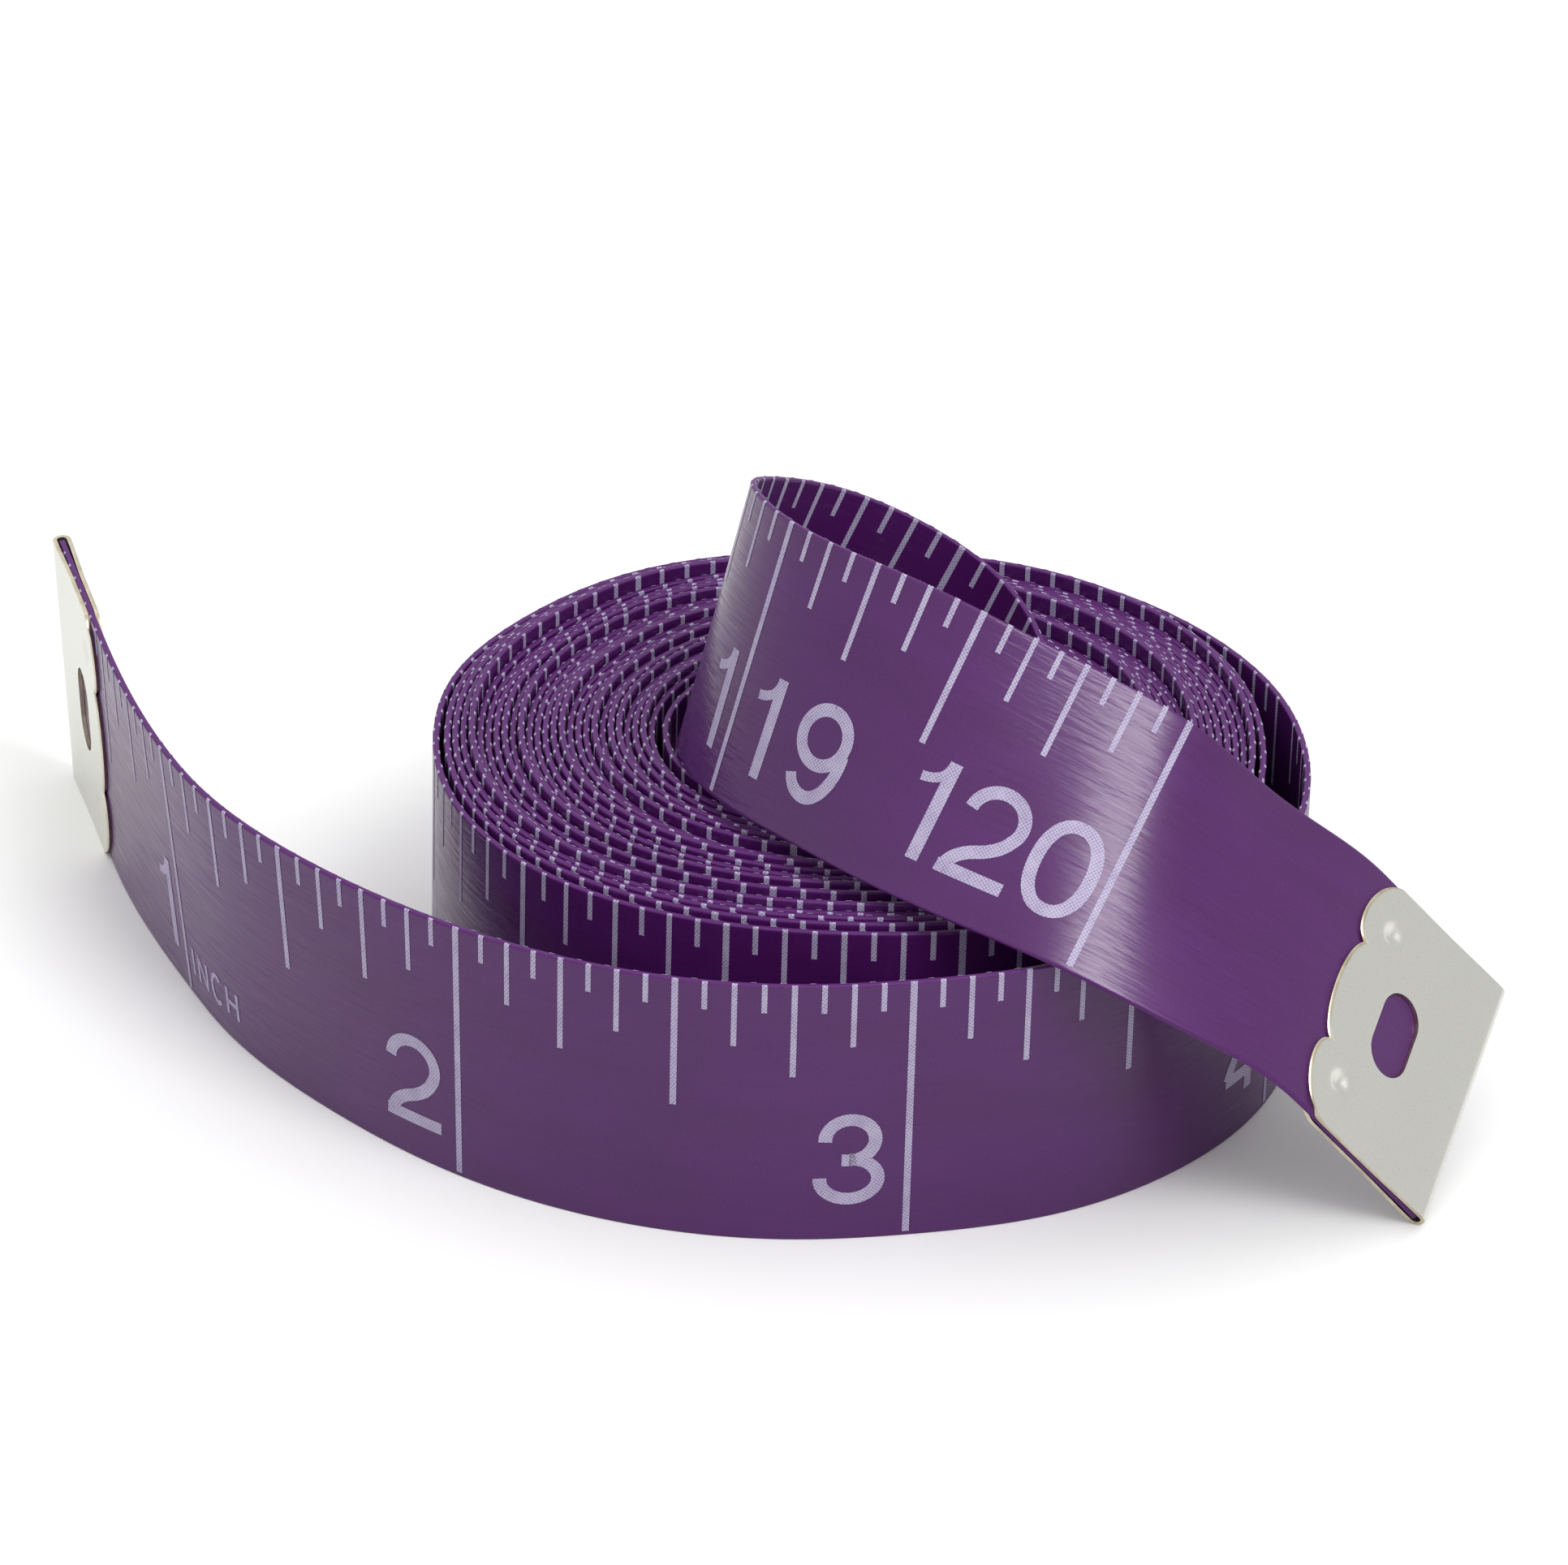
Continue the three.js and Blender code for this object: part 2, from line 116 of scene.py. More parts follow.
# The riser and the tail: the inner end, which climbs out of the bore, turns back over the coil and comes down
# in front of it. Each row: sixteenths of an inch from the 118 line, the lower edge's place from the coil's
# axis, and the upper edge's lean in X and in Y.
TAIL_ROWS_INCH = 118
TAIL_ROWS = (
    (-28, -10.15, 2.3, 0.0, 0.0, 0.0),
    (-24, -8.75, -4.25, 0.06, -0.03, -0.01),
    (-20, -2.9, -8.2, 0.45, -0.08, -0.07),
    (-16, 3.82, -6.43, 1.34, -0.123, -0.175),
    (-12, 8.47, -2.51, 2.72, -0.066, -0.255),
    (-8, 8.96, 3.37, 4.53, 0.097, -0.297),
    (-4, 4.77, 7.43, 6.64, 0.312, -0.179),
    (0, -0.95, 8.54, 9.09, 0.416, 0.021),
    (4, -6.41, 7.14, 11.81, 0.406, 0.148),
    (8, -9.25, 2.15, 14.19, 0.306, 0.246),
    (12, -9.4, -3.92, 16.35, 0.229, 0.265),
    (16, -7.61, -9.75, 17.3, 0.257, 0.273),
    (20, -3.88, -14.86, 17.75, 0.313, 0.322),
    (24, 0.32, -19.58, 17.99, 0.401, 0.471),
    (28, 5.81, -23.4, 17.5, 0.415, 0.612),
    (32, 11.54, -26.06, 16.4, 0.404, 0.716),
    (36, 17.28, -26.8, 13.7, 0.329, 0.83),
)
TAIL_SEAM_SIXTEENTHS = -8
TAIL_END, TAIL_END_LEAN = np.array([31.4, -24.4, 0.19]), (0.3, 0.865)
TAIL_END_SLOPE = np.array([0.65, 0.117, -0.75]) / np.linalg.norm([0.65, 0.117, -0.75])
# The last ruled line, and the far clip's fold. The reverse is printed in a second pass, a little off.
LAST_LINE_INCH, TAIL_END_INCH = 120, 121
REVERSE_ZERO_INCH = TAIL_END_INCH - 0.024

# The tape's section: points across a face, on the coil and where the tape twists, its corners' radius, the
# narrow band beside each, and the least distance between stations.
COIL_ROWS, FINE_ROWS, CORNER_RADIUS, FLAT_BAND, SHORTEST_STEP = 3, 13, 0.09, 0.12, 0.1
# How far the reverse is moved on the flat pattern, and how long a radian of a clip's fold is there.
REVERSE_SHIFT, FOLD_SHIFT = 40, 0.1

# The ruled lines: how many sixteenths apart, how long, how wide.
LINE_KINDS = ((16, 15.6, 0.38), (8, 7.8, 0.36), (4, 5.6, 0.32), (2, 3.8, 0.3), (1, 1.67, 0.3))
# A line's points on the face, then its cap: how far in it bends at the corner, the film's share there, and
# how far over the narrow edge its last two points are.
LINE_POINTS, CAP_BEND, CAP_FILM_SHARE, CAP_DEPTHS = 5, 0.026, 0.7, (0.06, 0.095)
# How far lines and numerals keep from the ends of a stretch.
LINE_CLEAR, NUMERAL_CLEAR = 0.3, 2

# The clips' scalloped edge and their slot, as distances from the fold, and the notches' share of the width.
CLIP_SIDE_LENGTH, CLIP_NOTCH_LENGTH, CLIP_SIDE_LOBE, CLIP_MIDDLE_LOBE = 9.2, 10.4, 1.5, 1.2
CLIP_NOTCH_SHARE = 0.21
CLIP_SLOT_LENGTH, CLIP_SLOT_WIDTH, CLIP_SLOT_DISTANCE, CLIP_SLOT_CUT = 5.15, 2.95, 6.5, 2.0
# How far the punch has rolled the scalloped rim over, how near a clip's sides that fades out, and the angle
# from which an edge is rounded.
RIM_ROLL, RIM_ROLL_FADE, ROUNDED_FROM_DEGREES = 0.07, 1.2, 55
# Where the leaves start to close on the tape, and the length that takes.
LEAF_CLOSING_START, LEAF_CLOSING_LENGTH = 0.6, 5.0
# The dimples, each with the prick of a pin: radius, depth, distance from the fold, and from the middle as a
# share of the width.
DIMPLE_RADIUS, DIMPLE_DEPTH, DIMPLE_DISTANCE, DIMPLE_SHARE = 0.85, 0.23, 9.0, 0.32
PIN_SHIFT, PIN_RADIUS, PIN_DEPTH = 0.6, 0.13, 0.07
# Points of a leaf along it, round its fold, across a lobe of its edge, and round half an end of its slot.
LEAF_POINTS, FOLD_POINTS, LOBE_POINTS, ROUND_POINTS = 64, 17, 33, 25
# How far along the tape a clip takes its direction from.
CLIP_AIM = 3.0

# The lamps: the side of the square, its place and what it is turned to, in metres.
KEY_LAMP = (0.4, (0.35, -0.42, 0.78), (0.018, -0.016, 0.022))
FILL_LAMP = (0.9, (-0.45, 0.5, 0.8), (0, 0, 0.01))
# The directions of the soft box and the grey card, and the angles to their rims and to where they are full.
SOFT_BOX = ((0.35, -0.41, 0.84), 25, 10)
GREY_CARD = ((0.955, 0.24, 0.17), 50, 18)
# The floor's paper as it lights the object, and as the camera sees it.
PAPER_LIT, PAPER_SEEN = (0.72, 0.72, 0.71, 1), (1.0, 1.0, 0.995, 1)


def linear(hex_colour):
    """An sRGB hex colour as linear RGBA."""
    channels = np.array([int(hex_colour[i : i + 2], 16) for i in (1, 3, 5)]) / 255
    curved = ((channels + 0.055) / 1.055) ** 2.4
    return (*np.where(channels <= 0.04045, channels / 12.92, curved), 1.0)


def smooth_step(x):
    """0 below 0, 1 above 1, and 3x2 - 2x3 between."""
    x = np.clip(x, 0, 1)
    return x * x * (3 - 2 * x)


def smooth_curve(knots):
    """A natural cubic spline through the knots, and the samples at the knots.

    It runs by chord length over the first three columns. Its second derivatives at the knots solve
    one system, in which each inner knot's slopes on both sides agree.
    """
    knots = np.asarray(knots, float)
    span = np.linalg.norm(np.diff(knots[:, :3], axis=0), axis=1)
    at = np.concatenate([[0], np.cumsum(span)])
    inner = np.arange(1, len(at) - 1)
    matrix = np.eye(len(at))
    matrix[inner, inner - 1] = span[:-1]
    matrix[inner, inner] = 2 * (span[:-1] + span[1:])
    matrix[inner, inner + 1] = span[1:]
    slope = np.diff(knots, axis=0) / span[:, None]
    right = np.zeros_like(knots)
    right[1:-1] = 6 * np.diff(slope, axis=0)
    bend = np.linalg.solve(matrix, right)
    t = np.linspace(0, at[-1], int(at[-1] / CURVE_STEP) + 2)
    k = np.clip(np.searchsorted(at, t, side="right") - 1, 0, len(span) - 1)
    b = ((t - at[k]) / span[k])[:, None]
    a = 1 - b
    square = (span[k] ** 2)[:, None] / 6
    curve = a * knots[k] + b * knots[k + 1] + ((a**3 - a) * bend[k] + (b**3 - b) * bend[k + 1]) * square
    return curve, np.searchsorted(t, at)


def outline_radius(angle):
    """The coil's outline at an angle round its axis: (|cos|/a)^p + (|sin|/b)^p to the power -1/p."""
    across, along = np.abs(np.cos(angle)) / COIL_HALF_LENGTH, np.abs(np.sin(angle)) / COIL_HALF_DEPTH
    return (across**COIL_OVAL_POWER + along**COIL_OVAL_POWER) ** (-1 / COIL_OVAL_POWER)


def coil_foot(loops, thickness):
    """The lower edge of the coil after a number of loops, as X, Y, Z from the axis.

    The radius is the outline's less a depth, which grows by one pitch a loop, after a first loop that stands
    off the rest, and shrinks with the wall, and less the dent, which fades inwards. The height runs smoothly
    through the rises of each loop.
    """
    angle = np.radians(COIL_START_DEGREES) + 2 * np.pi * loops
    outline = outline_radius(angle)
    opened = smooth_step((loops - GAP_OPENS_AT) / GAP_OPENS_AT)
    first = (FIRST_LOOP_GAP - (GAP_FULL_AT - 1) * LOOP_PITCH) * opened
    depth = np.where(loops < 1, first, FIRST_LOOP_GAP + LOOP_PITCH * (loops - GAP_FULL_AT))
    dent_turn = (np.degrees(angle) - DENT_DEGREES + 180) % 360 - 180
    dent = DENT_DEPTH * np.exp(-((dent_turn / DENT_WIDTH_DEGREES) ** 2))
    wall = (outline - BORE_RADIUS) / WALL_AT_SIDE
    radius = outline - thickness / 2 - depth * wall - dent * (1 - depth / WALL_AT_SIDE)
    at = np.concatenate([np.arange(len(rises)) + place for place, rises in RISES.items()])
    rise, order = np.concatenate(list(RISES.values())), np.argsort(at)
    rise, place = rise[order], np.interp(loops, at[order], np.arange(len(at)))
    low = np.clip(place.astype(int), 0, len(at) - 2)
    height = rise[low] + (rise[low + 1] - rise[low]) * smooth_step(place - low)
    return np.stack([np.cos(angle) * radius, np.sin(angle) * radius, height], axis=-1)


class TapeSurface:
    """The whole tape as a ruled surface: stations along it, each with a lower and an upper edge point."""

    def __init__(self, lower, upper, settings):
        middle = (lower + upper) / 2
        run = np.concatenate([[0], np.cumsum(np.linalg.norm(np.diff(middle, axis=0), axis=1))])
        self.width, self.thickness = settings.width / MM, settings.thickness / MM
        self.run, self.length = run, run[-1]
        across = (upper - lower) / np.linalg.norm(upper - lower, axis=1)[:, None]
        self.columns = []
        for edge in (lower, upper):
            along = np.gradient(edge, run, axis=0)
            out = np.cross(along, across)
            self.columns.append(np.hstack([edge, out / np.linalg.norm(out, axis=1)[:, None]]))

    def edges_at(self, run):
        """Each edge's point and outward direction at runs along the tape, linear between the stations."""
        return [
            np.stack([np.interp(run, self.run, column) for column in edge.T], axis=-1)
            for edge in self.columns
        ]

    def resample(self, step):
        """Stations about one step apart."""
        run = np.linspace(0, self.length, int(self.length / step) + 1)
        self.columns, self.run = self.edges_at(run), run

    def point(self, run, height, offset):
        """The place at a run, a height above the lower edge and an offset out of the tape's middle.

        It lies on the line from the lower to the upper edge's point, moved along the outward direction there.
        """
        run, height, offset = np.broadcast_arrays(run, height, offset)
        low, high = self.edges_at(run)
        share = (height / self.width)[..., None]
        mixed = low + (high - low) * share
        out = mixed[..., 3:] / np.linalg.norm(mixed[..., 3:], axis=-1)[..., None]
        return mixed[..., :3] + out * offset[..., None]


def direction(degrees):
    """The level direction at an angle from X."""
    angle = math.radians(degrees)
    return np.array([math.cos(angle), math.sin(angle)])


def off_the_coil(degrees, stand_off, thickness):
    """The place at an angle round the coil's axis and a distance off its outline."""
    return direction(degrees) * (outline_radius(math.radians(degrees)) - thickness / 2 + stand_off)


def lead_rows(thickness):
    """The lead's stations: the lower edge's place from the coil's axis, and the upper edge's lean."""
    end, inward = off_the_coil(LEAD_END_DEGREES, LEAD_END_OFFSET, thickness), direction(LEAD_END_HEADING)
    outward = np.array([inward[1], -inward[0]])
    knots = [
        [*(end + inward * distance), 0, *(outward * LEAD_END_LEAN)]
        for distance in np.linspace(0, CLIP_STRAIGHT_LENGTH, 4)
    ]
    for degrees, stand_off, lean in LEAD_ROWS:
        knots.append([*off_the_coil(degrees, stand_off, thickness), 0, *(direction(degrees) * lean)])
    joined = len(knots)
    knots += [[*coil_foot(np.array(loops), thickness), 0, 0] for loops in LEAD_MEETS_COIL]
    rows, at = smooth_curve(knots)
    return rows[: at[joined]]


def tail_rows(thickness):
    """The riser's and the tail's stations likewise, and which of them are those of TAIL_ROWS."""
    knots = [[*coil_foot(np.array(COIL_LOOPS - back), thickness), 0, 0] for back in TAIL_LEAVES_COIL]
    started = len(knots)
    knots += [row[1:] for row in TAIL_ROWS]
    knots += [
        [*(TAIL_END - TAIL_END_SLOPE * distance), *TAIL_END_LEAN]
        for distance in np.linspace(CLIP_STRAIGHT_LENGTH, 0, 4)
    ]
    rows, at = smooth_curve(knots)
    skipped = at[started - 1] + 1
    return rows[skipped:], at[started : started + len(TAIL_ROWS)] - skipped


def seam_station(feet):
    """The foot nearest to the seam between lead and coil, by its angle round the axis, on the right of it."""
    angle = np.degrees(np.arctan2(feet[:, 1] - COIL_AXIS[1], feet[:, 0] - COIL_AXIS[0]))
    near = np.where(feet[:, 0] > COIL_AXIS[0], 0, 360)
    return np.argmin(np.abs(angle - LEAD_SEAM_DEGREES) + near)


def tape_surface(settings):
    """The tape from the fold of the zero clip to the fold of the far clip, with its inch marks' places."""
    width, thickness = settings.width / MM, settings.thickness / MM
    lead = lead_rows(thickness)
    loops = np.linspace(0, COIL_LOOPS, COIL_LOOPS * COIL_LOOP_STATIONS)
    coil = np.hstack([coil_foot(loops, thickness), np.zeros((len(loops), 2))])
    tail, marked = tail_rows(thickness)
    rows = np.vstack([lead, coil, tail])
    lower = rows[:, :3] + np.array([*COIL_AXIS, 0.0])
    upright = np.sqrt(1 - (rows[:, 3:] ** 2).sum(axis=1))
    upper = lower + width * np.column_stack([rows[:, 3:], upright])
    surface = TapeSurface(lower, upper, settings)
    # The inches keep their true length up to a run inside the coil, and the hidden loops take up the rest.
    true_end = surface.run[len(lead) + TRUE_LOOPS * COIL_LOOP_STATIONS]
    rows_at = surface.run[len(lead) + len(coil) + marked]
    sixteenths = [row[0] for row in TAIL_ROWS]
    surface.mark_runs = np.array([ZERO_RUN, true_end, *rows_at, surface.length])
    row_inches = TAIL_ROWS_INCH + np.array(sixteenths) / 16
    surface.mark_inches = np.array([0, (true_end - ZERO_RUN) / INCH, *row_inches, TAIL_END_INCH])
    surface.seam_lead = surface.run[seam_station(lower[: len(lead)])]
    surface.seam_riser = rows_at[0]
    surface.seam_tail = rows_at[sixteenths.index(TAIL_SEAM_SIXTEENTHS)]
    surface.resample(settings.station_step / MM)
    return surface


def run_at(surface, inches):
    """The run along the tape at a printed inch, linear between the marks that fix it."""
    return np.interp(inches, surface.mark_inches, surface.mark_runs)


def tape_section(surface, rows):
    """The tape's section as heights and offsets: two faces and two narrow edges with rounded corners.

    A narrow band beside each corner keeps the faces' shading flat up to their borders.
    """
    radius, half, width = CORNER_RADIUS, surface.thickness / 2, surface.width
    face = [radius, *np.linspace(radius + FLAT_BAND, width - radius - FLAT_BAND, rows), width - radius]
    corner = radius * (1 - math.sqrt(0.5))
    heights = [*face, width - corner, width, width, width - corner, *face[::-1], corner, 0, 0, corner]
    flat, turned = half - radius, half - corner
    offsets = np.array([half] * len(face) + [turned, flat, -flat, -turned])
    return np.array(heights), np.concatenate([offsets, -offsets])


def new_piece(name, points, faces, material, uv=None, smooth=True):
    """A mesh object of points in millimetres and faces, with its own UV map where one is given."""
    mesh = bpy.data.meshes.new(name)
    mesh.from_pydata((np.asarray(points).reshape(-1, 3) * MM).tolist(), [], faces)
    if uv is not None:
        layer = mesh.uv_layers.new(name="tape_millimetres")
        corners = np.zeros(len(mesh.loops), np.int32)
        mesh.loops.foreach_get("vertex_index", corners)
        layer.data.foreach_set("uv", uv.reshape(-1, 2)[corners].astype(np.float32).ravel())
    mesh.polygons.foreach_set("use_smooth", np.full(len(mesh.polygons), smooth))
    mesh.materials.append(material)
    mesh.validate()
    mesh.update()
    piece = bpy.data.objects.new(name, mesh)
    bpy.context.scene.collection.objects.link(piece)
    return piece


def grid_faces(rows, columns, closed=False):
    """Quads of a grid of rows by columns of points, whose columns may close to a ring."""
    row = np.arange(rows - 1)[:, None] * columns
    column = np.arange(columns if closed else columns - 1)[None]
    beside = (column + 1) % columns
    corners = (row + column, row + beside, row + columns + beside, row + columns + column)
    return np.stack(corners, axis=-1).reshape(-1, 4)


def tape_piece(surface, name, start, stop, rows, settings):
    """A stretch of the tape: its section carried along from one run to another, closed at both ends."""
    heights, offsets = tape_section(surface, rows)
    inside = surface.run[(surface.run > start + SHORTEST_STEP) & (surface.run < stop - SHORTEST_STEP)]
    run = np.concatenate([[start], inside, [stop]])
    points = surface.point(run[:, None], heights[None], offsets[None])
    uv = np.stack(np.broadcast_arrays(run[:, None], (heights + REVERSE_SHIFT * (offsets < 0))[None]), axis=-1)
    count = len(heights)
    faces = grid_faces(len(run), count, closed=True).tolist()
    last = (len(run) - 1) * count
    faces += [list(range(count - 1, -1, -1)), list(range(last, last + count))]
    piece = new_piece(name, points, faces, material_of(calendered_vinyl, settings.vinyl_colour), uv)
    piece.data.materials.append(material_of(slit_vinyl_edge, settings.edge_vinyl_colour))
    # Half the section is one face, and then the five quads of an edge with its corners.
    on_edge = np.arange(count) % (count // 2) >= rows + 1
    slots = np.concatenate([np.tile(on_edge, len(run) - 1), [True, True]]).astype(np.int32)
    piece.data.polygons.foreach_set("material_index", slots)
    sharpen_ends(piece, count, last)
    return piece


def sharpen_ends(piece, count, last):
    """Marks the rims of a stretch's two end faces sharp, so that they don't tint the faces beside them."""
    edges = piece.data.edges
    ends = np.zeros((len(edges), 2), np.int32)
    edges.foreach_get("vertices", ends.ravel())
    rim = (ends < count).all(axis=1) | (ends >= last).all(axis=1)
    piece.data.attributes.new("sharp_edge", "BOOLEAN", "EDGE").data.foreach_set("value", rim)


def printed(surface, run, height, offset):
    """Points of the print, each followed by its run and height, its place on the flat tape."""
    place = surface.point(run, height, offset)
    flat = np.broadcast_to(np.stack(np.broadcast_arrays(run, height), axis=-1), (*place.shape[:-1], 2))
    return np.concatenate([place, flat], axis=-1)


def ruled_lines(surface, side, first, last, settings):
    """All ruled lines of one face between two runs, each a strip that goes over the tape's upper edge.

    The near face counts from the zero end and the reverse from the far end.
    """
    film, half, top = settings.ink_film / MM, surface.thickness / 2, surface.width
    sixteenths = np.arange(1, LAST_LINE_INCH * 16 + 1)
    bend = CAP_FILM_SHARE * film - CAP_BEND
    offsets = np.array([half + film] * LINE_POINTS + [half + bend, *(half - depth for depth in CAP_DEPTHS)])
    strips, ruled = [], np.zeros(len(sixteenths), bool)
    for every, reach, width in LINE_KINDS:
        inches = sixteenths[(sixteenths % every == 0) & ~ruled] / 16
        ruled |= sixteenths % every == 0
        middle = run_at(surface, inches if side > 0 else REVERSE_ZERO_INCH - inches)
        middle = middle[(middle > first) & (middle < last)]
        face = np.linspace(top - reach, top - CORNER_RADIUS, LINE_POINTS)
        heights = np.array([*face, top + bend, top + film, top + film])
        run = middle[:, None, None] + np.array([-0.5, 0.5]) * width * side
        strips.append(printed(surface, run, heights[None, :, None], side * offsets[None, :, None]))
    return strips


def arc(cx, cy, rx, ry, start, stop, count=22, power=2.0):
    """Points on an oval's arc between two angles in degrees: |x|^power + |y|^power = 1, stretched."""
    angle = np.radians(np.linspace(start, stop, count))
    x, y = np.cos(angle), np.sin(angle)
    out = (np.abs(x) ** power + np.abs(y) ** power) ** (-1 / power)
    return np.column_stack([cx + rx * x * out, cy + ry * y * out])


def line(*corners):
    """Points along straight runs between corners, close enough to lie on a bent tape."""
    corners = np.array(corners, float)
    pieces = [np.linspace(a, b, 9)[:-1] for a, b in zip(corners[:-1], corners[1:])]
    return np.vstack([*pieces, corners[-1:]])


def bow(a, control, b, count=16):
    """Points on a quadratic curve from a to b."""
    t = np.linspace(0, 1, count)[:, None]
    a, control, b = (np.array(p, float) for p in (a, control, b))
    return (1 - t) ** 2 * a + 2 * t * (1 - t) * control + t**2 * b


# The width of a 1, the room on its right, and how much wider the groups right of a line are set, and how much
# further from it. Shares of a stroke: the thickness of the flag of a 1, and how early it starts.
NARROW_ONE, ONE_RIGHT_ROOM, RIGHT_GROUP_SPREAD, RIGHT_GROUP_ROOM = 2.1, 0.45, 0.65, 0.2
FLAG_SHARE, EARLY_SHARE = 0.72, 0.02
# The small word: its letters' height, width, stroke and gap, and its place from the line and the lower edge.
WORD_HEIGHT, WORD_WIDTH, WORD_STROKE, WORD_GAP, WORD_LEFT, WORD_BASE = 1.75, 1.15, 0.3, 0.75, 1.1, 1.7
# Middle lines of the numerals' strokes, in a box from 0 to 1 both ways.
NUMERALS = {
    "0": [arc(0.5, 0.5, 0.5, 0.5, 90, 450, 40, 2.25)],
    "1": [line((1, -0.07), (1, 1.07)), bow((0.9, 1.0), (0.78, 0.82), (-0.12, 0.8))],
    "2": [np.vstack([arc(0.51, 0.7, 0.49, 0.3, 176, -30), bow((0.92, 0.54), (0.84, 0.42), (0.56, 0.32)),
                     bow((0.5, 0.3), (0.0, 0.18), (0.0, -0.07))]), line((-0.1, 0), (1.12, 0))],
    "3": [arc(0.5, 0.745, 0.43, 0.255, 184, -90), line((0.5, 0.49), (0.36, 0.49)),
          arc(0.49, 0.25, 0.5, 0.25, 90, -184, 28)],
    "4": [line((0.72, 0), (0.72, 1)), line((0.7, 1), (0.02, 0.27)), line((0, 0.25), (1.06, 0.25))],
    "5": [np.vstack([line((0.92, 1), (0.2, 1)), line((0.18, 1), (0.08, 0.5))]),
          arc(0.48, 0.32, 0.5, 0.32, 142, -166, 28)],
    "6": [arc(0.5, 0.31, 0.48, 0.31, 90, 450, 34),
          np.vstack([arc(0.5, 0.5, 0.5, 0.5, 190, 92, 18), arc(0.5, 0.74, 0.44, 0.26, 88, 14, 12)])],
    "7": [np.vstack([line((0, 1), (1, 1)), bow((1, 0.97), (0.46, 0.52), (0.36, 0))])],
    "8": [arc(0.5, 0.755, 0.42, 0.245, 90, 450, 30), arc(0.5, 0.255, 0.5, 0.255, 90, 450, 34)],
    "9": [arc(0.5, 0.69, 0.48, 0.31, 90, 450, 34),
          np.vstack([arc(0.5, 0.5, 0.5, 0.5, 10, -88, 18), arc(0.5, 0.26, 0.44, 0.26, -92, -166, 12)])],
}
# The letters' likewise, each with its width.
LETTERS = {
    "I": ([line((0, 0), (0, 1))], 0.1),
    "N": ([line((0, 0), (0, 1)), line((0, 1), (1, 0)), line((1, 0), (1, 1))], WORD_WIDTH),
    "C": ([arc(0.52, 0.5, 0.52, 0.5, 48, 312)], WORD_WIDTH),
    "H": ([line((0, 0), (0, 1)), line((1, 0), (1, 1)), line((0, 0.5), (1, 0.5))], WORD_WIDTH),
}


def stroke_strip(points, thickness):
    """The left and right border of a stroke of even thickness along its middle line."""
    along = np.gradient(points, axis=0)
    along /= np.linalg.norm(along, axis=1)[:, None]
    sideways = np.column_stack([-along[:, 1], along[:, 0]]) * thickness / 2
    points = points.copy()
    points[0] -= along[0] * thickness * EARLY_SHARE
    return np.stack([points + sideways, points - sideways], axis=1)


def numeral_strips(text, side_of_line, settings):
    """The strokes of one group of numerals, as strips of (run, height) from its inch line.

    A group left of its line ends at the clearance, and one right of it starts there.
    """
    tall, wide = settings.numeral_height / MM, settings.numeral_width / MM
    stroke = settings.numeral_stroke / MM
    clear, gap = settings.numeral_clearance / MM, settings.numeral_gap / MM
    widths = [NARROW_ONE if numeral == "1" else wide for numeral in text]
    if side_of_line > 0:
        gap += RIGHT_GROUP_SPREAD
    steps = [width + gap + (ONE_RIGHT_ROOM if numeral == "1" else 0) for numeral, width in zip(text, widths)]
    if side_of_line > 0:
        left = clear + RIGHT_GROUP_ROOM
    else:
        left = -(sum(steps[:-1]) + widths[-1]) - (clear if len(text) < 3 else clear / 2)
    strips = []
    for numeral, width, step in zip(text, widths, steps):
        for index, points in enumerate(NUMERALS[numeral]):
            placed = points * [width - stroke, tall - stroke] + stroke / 2
            placed += [left, settings.numeral_base / MM]
            flag = numeral == "1" and index == 1
            strips.append(stroke_strip(placed, stroke * (FLAG_SHARE if flag else 1)))
        left += step
    return strips


def inch_word_strips():
    """The small word INCH, just past the first inch line."""
    strips, left = [], WORD_LEFT
    for strokes, width in (LETTERS[letter] for letter in "INCH"):
        for points in strokes:
            strips.append(stroke_strip(points * [width, WORD_HEIGHT] + [left, WORD_BASE], WORD_STROKE))
        left += width + WORD_GAP
    return strips


def numbers(surface, side, first, last, settings):
    """The numbers of one face between two runs: the first numeral left of its line and the rest right.

    The last number stands left as a whole.
    """
    offset = side * (surface.thickness / 2 + settings.ink_film / MM)
    strips = []
    for inch in range(1, LAST_LINE_INCH + 1):
        at = float(run_at(surface, inch if side > 0 else REVERSE_ZERO_INCH - inch))
        if not first + NUMERAL_CLEAR < at < last:
            continue
        text = str(inch)
        cut = len(text) if inch == LAST_LINE_INCH else 1
        flat = numeral_strips(text[:cut], -1, settings)
        if text[cut:]:
            flat += numeral_strips(text[cut:], 1, settings)
        if inch == 1:
            flat += inch_word_strips()
        strips += [printed(surface, at + side * strip[..., 0], strip[..., 1], offset) for strip in flat]
    return strips


def strips_mesh(strips):
    """The points, their places on the flat tape, and the quads of strips of shape (..., rows, 2, 5)."""
    points, faces, base = [], [], 0
    for strip in strips:
        rows = strip.shape[-3]
        points.append(strip.reshape(-1, 5))
        starts = base + np.arange(0, len(points[-1]), rows * 2)
        faces.append((grid_faces(rows, 2)[None] + starts[:, None, None]).reshape(-1, 4))
        base += len(points[-1])
    points = np.vstack(points)
    return points[:, :3], points[:, 3:], np.vstack(faces)


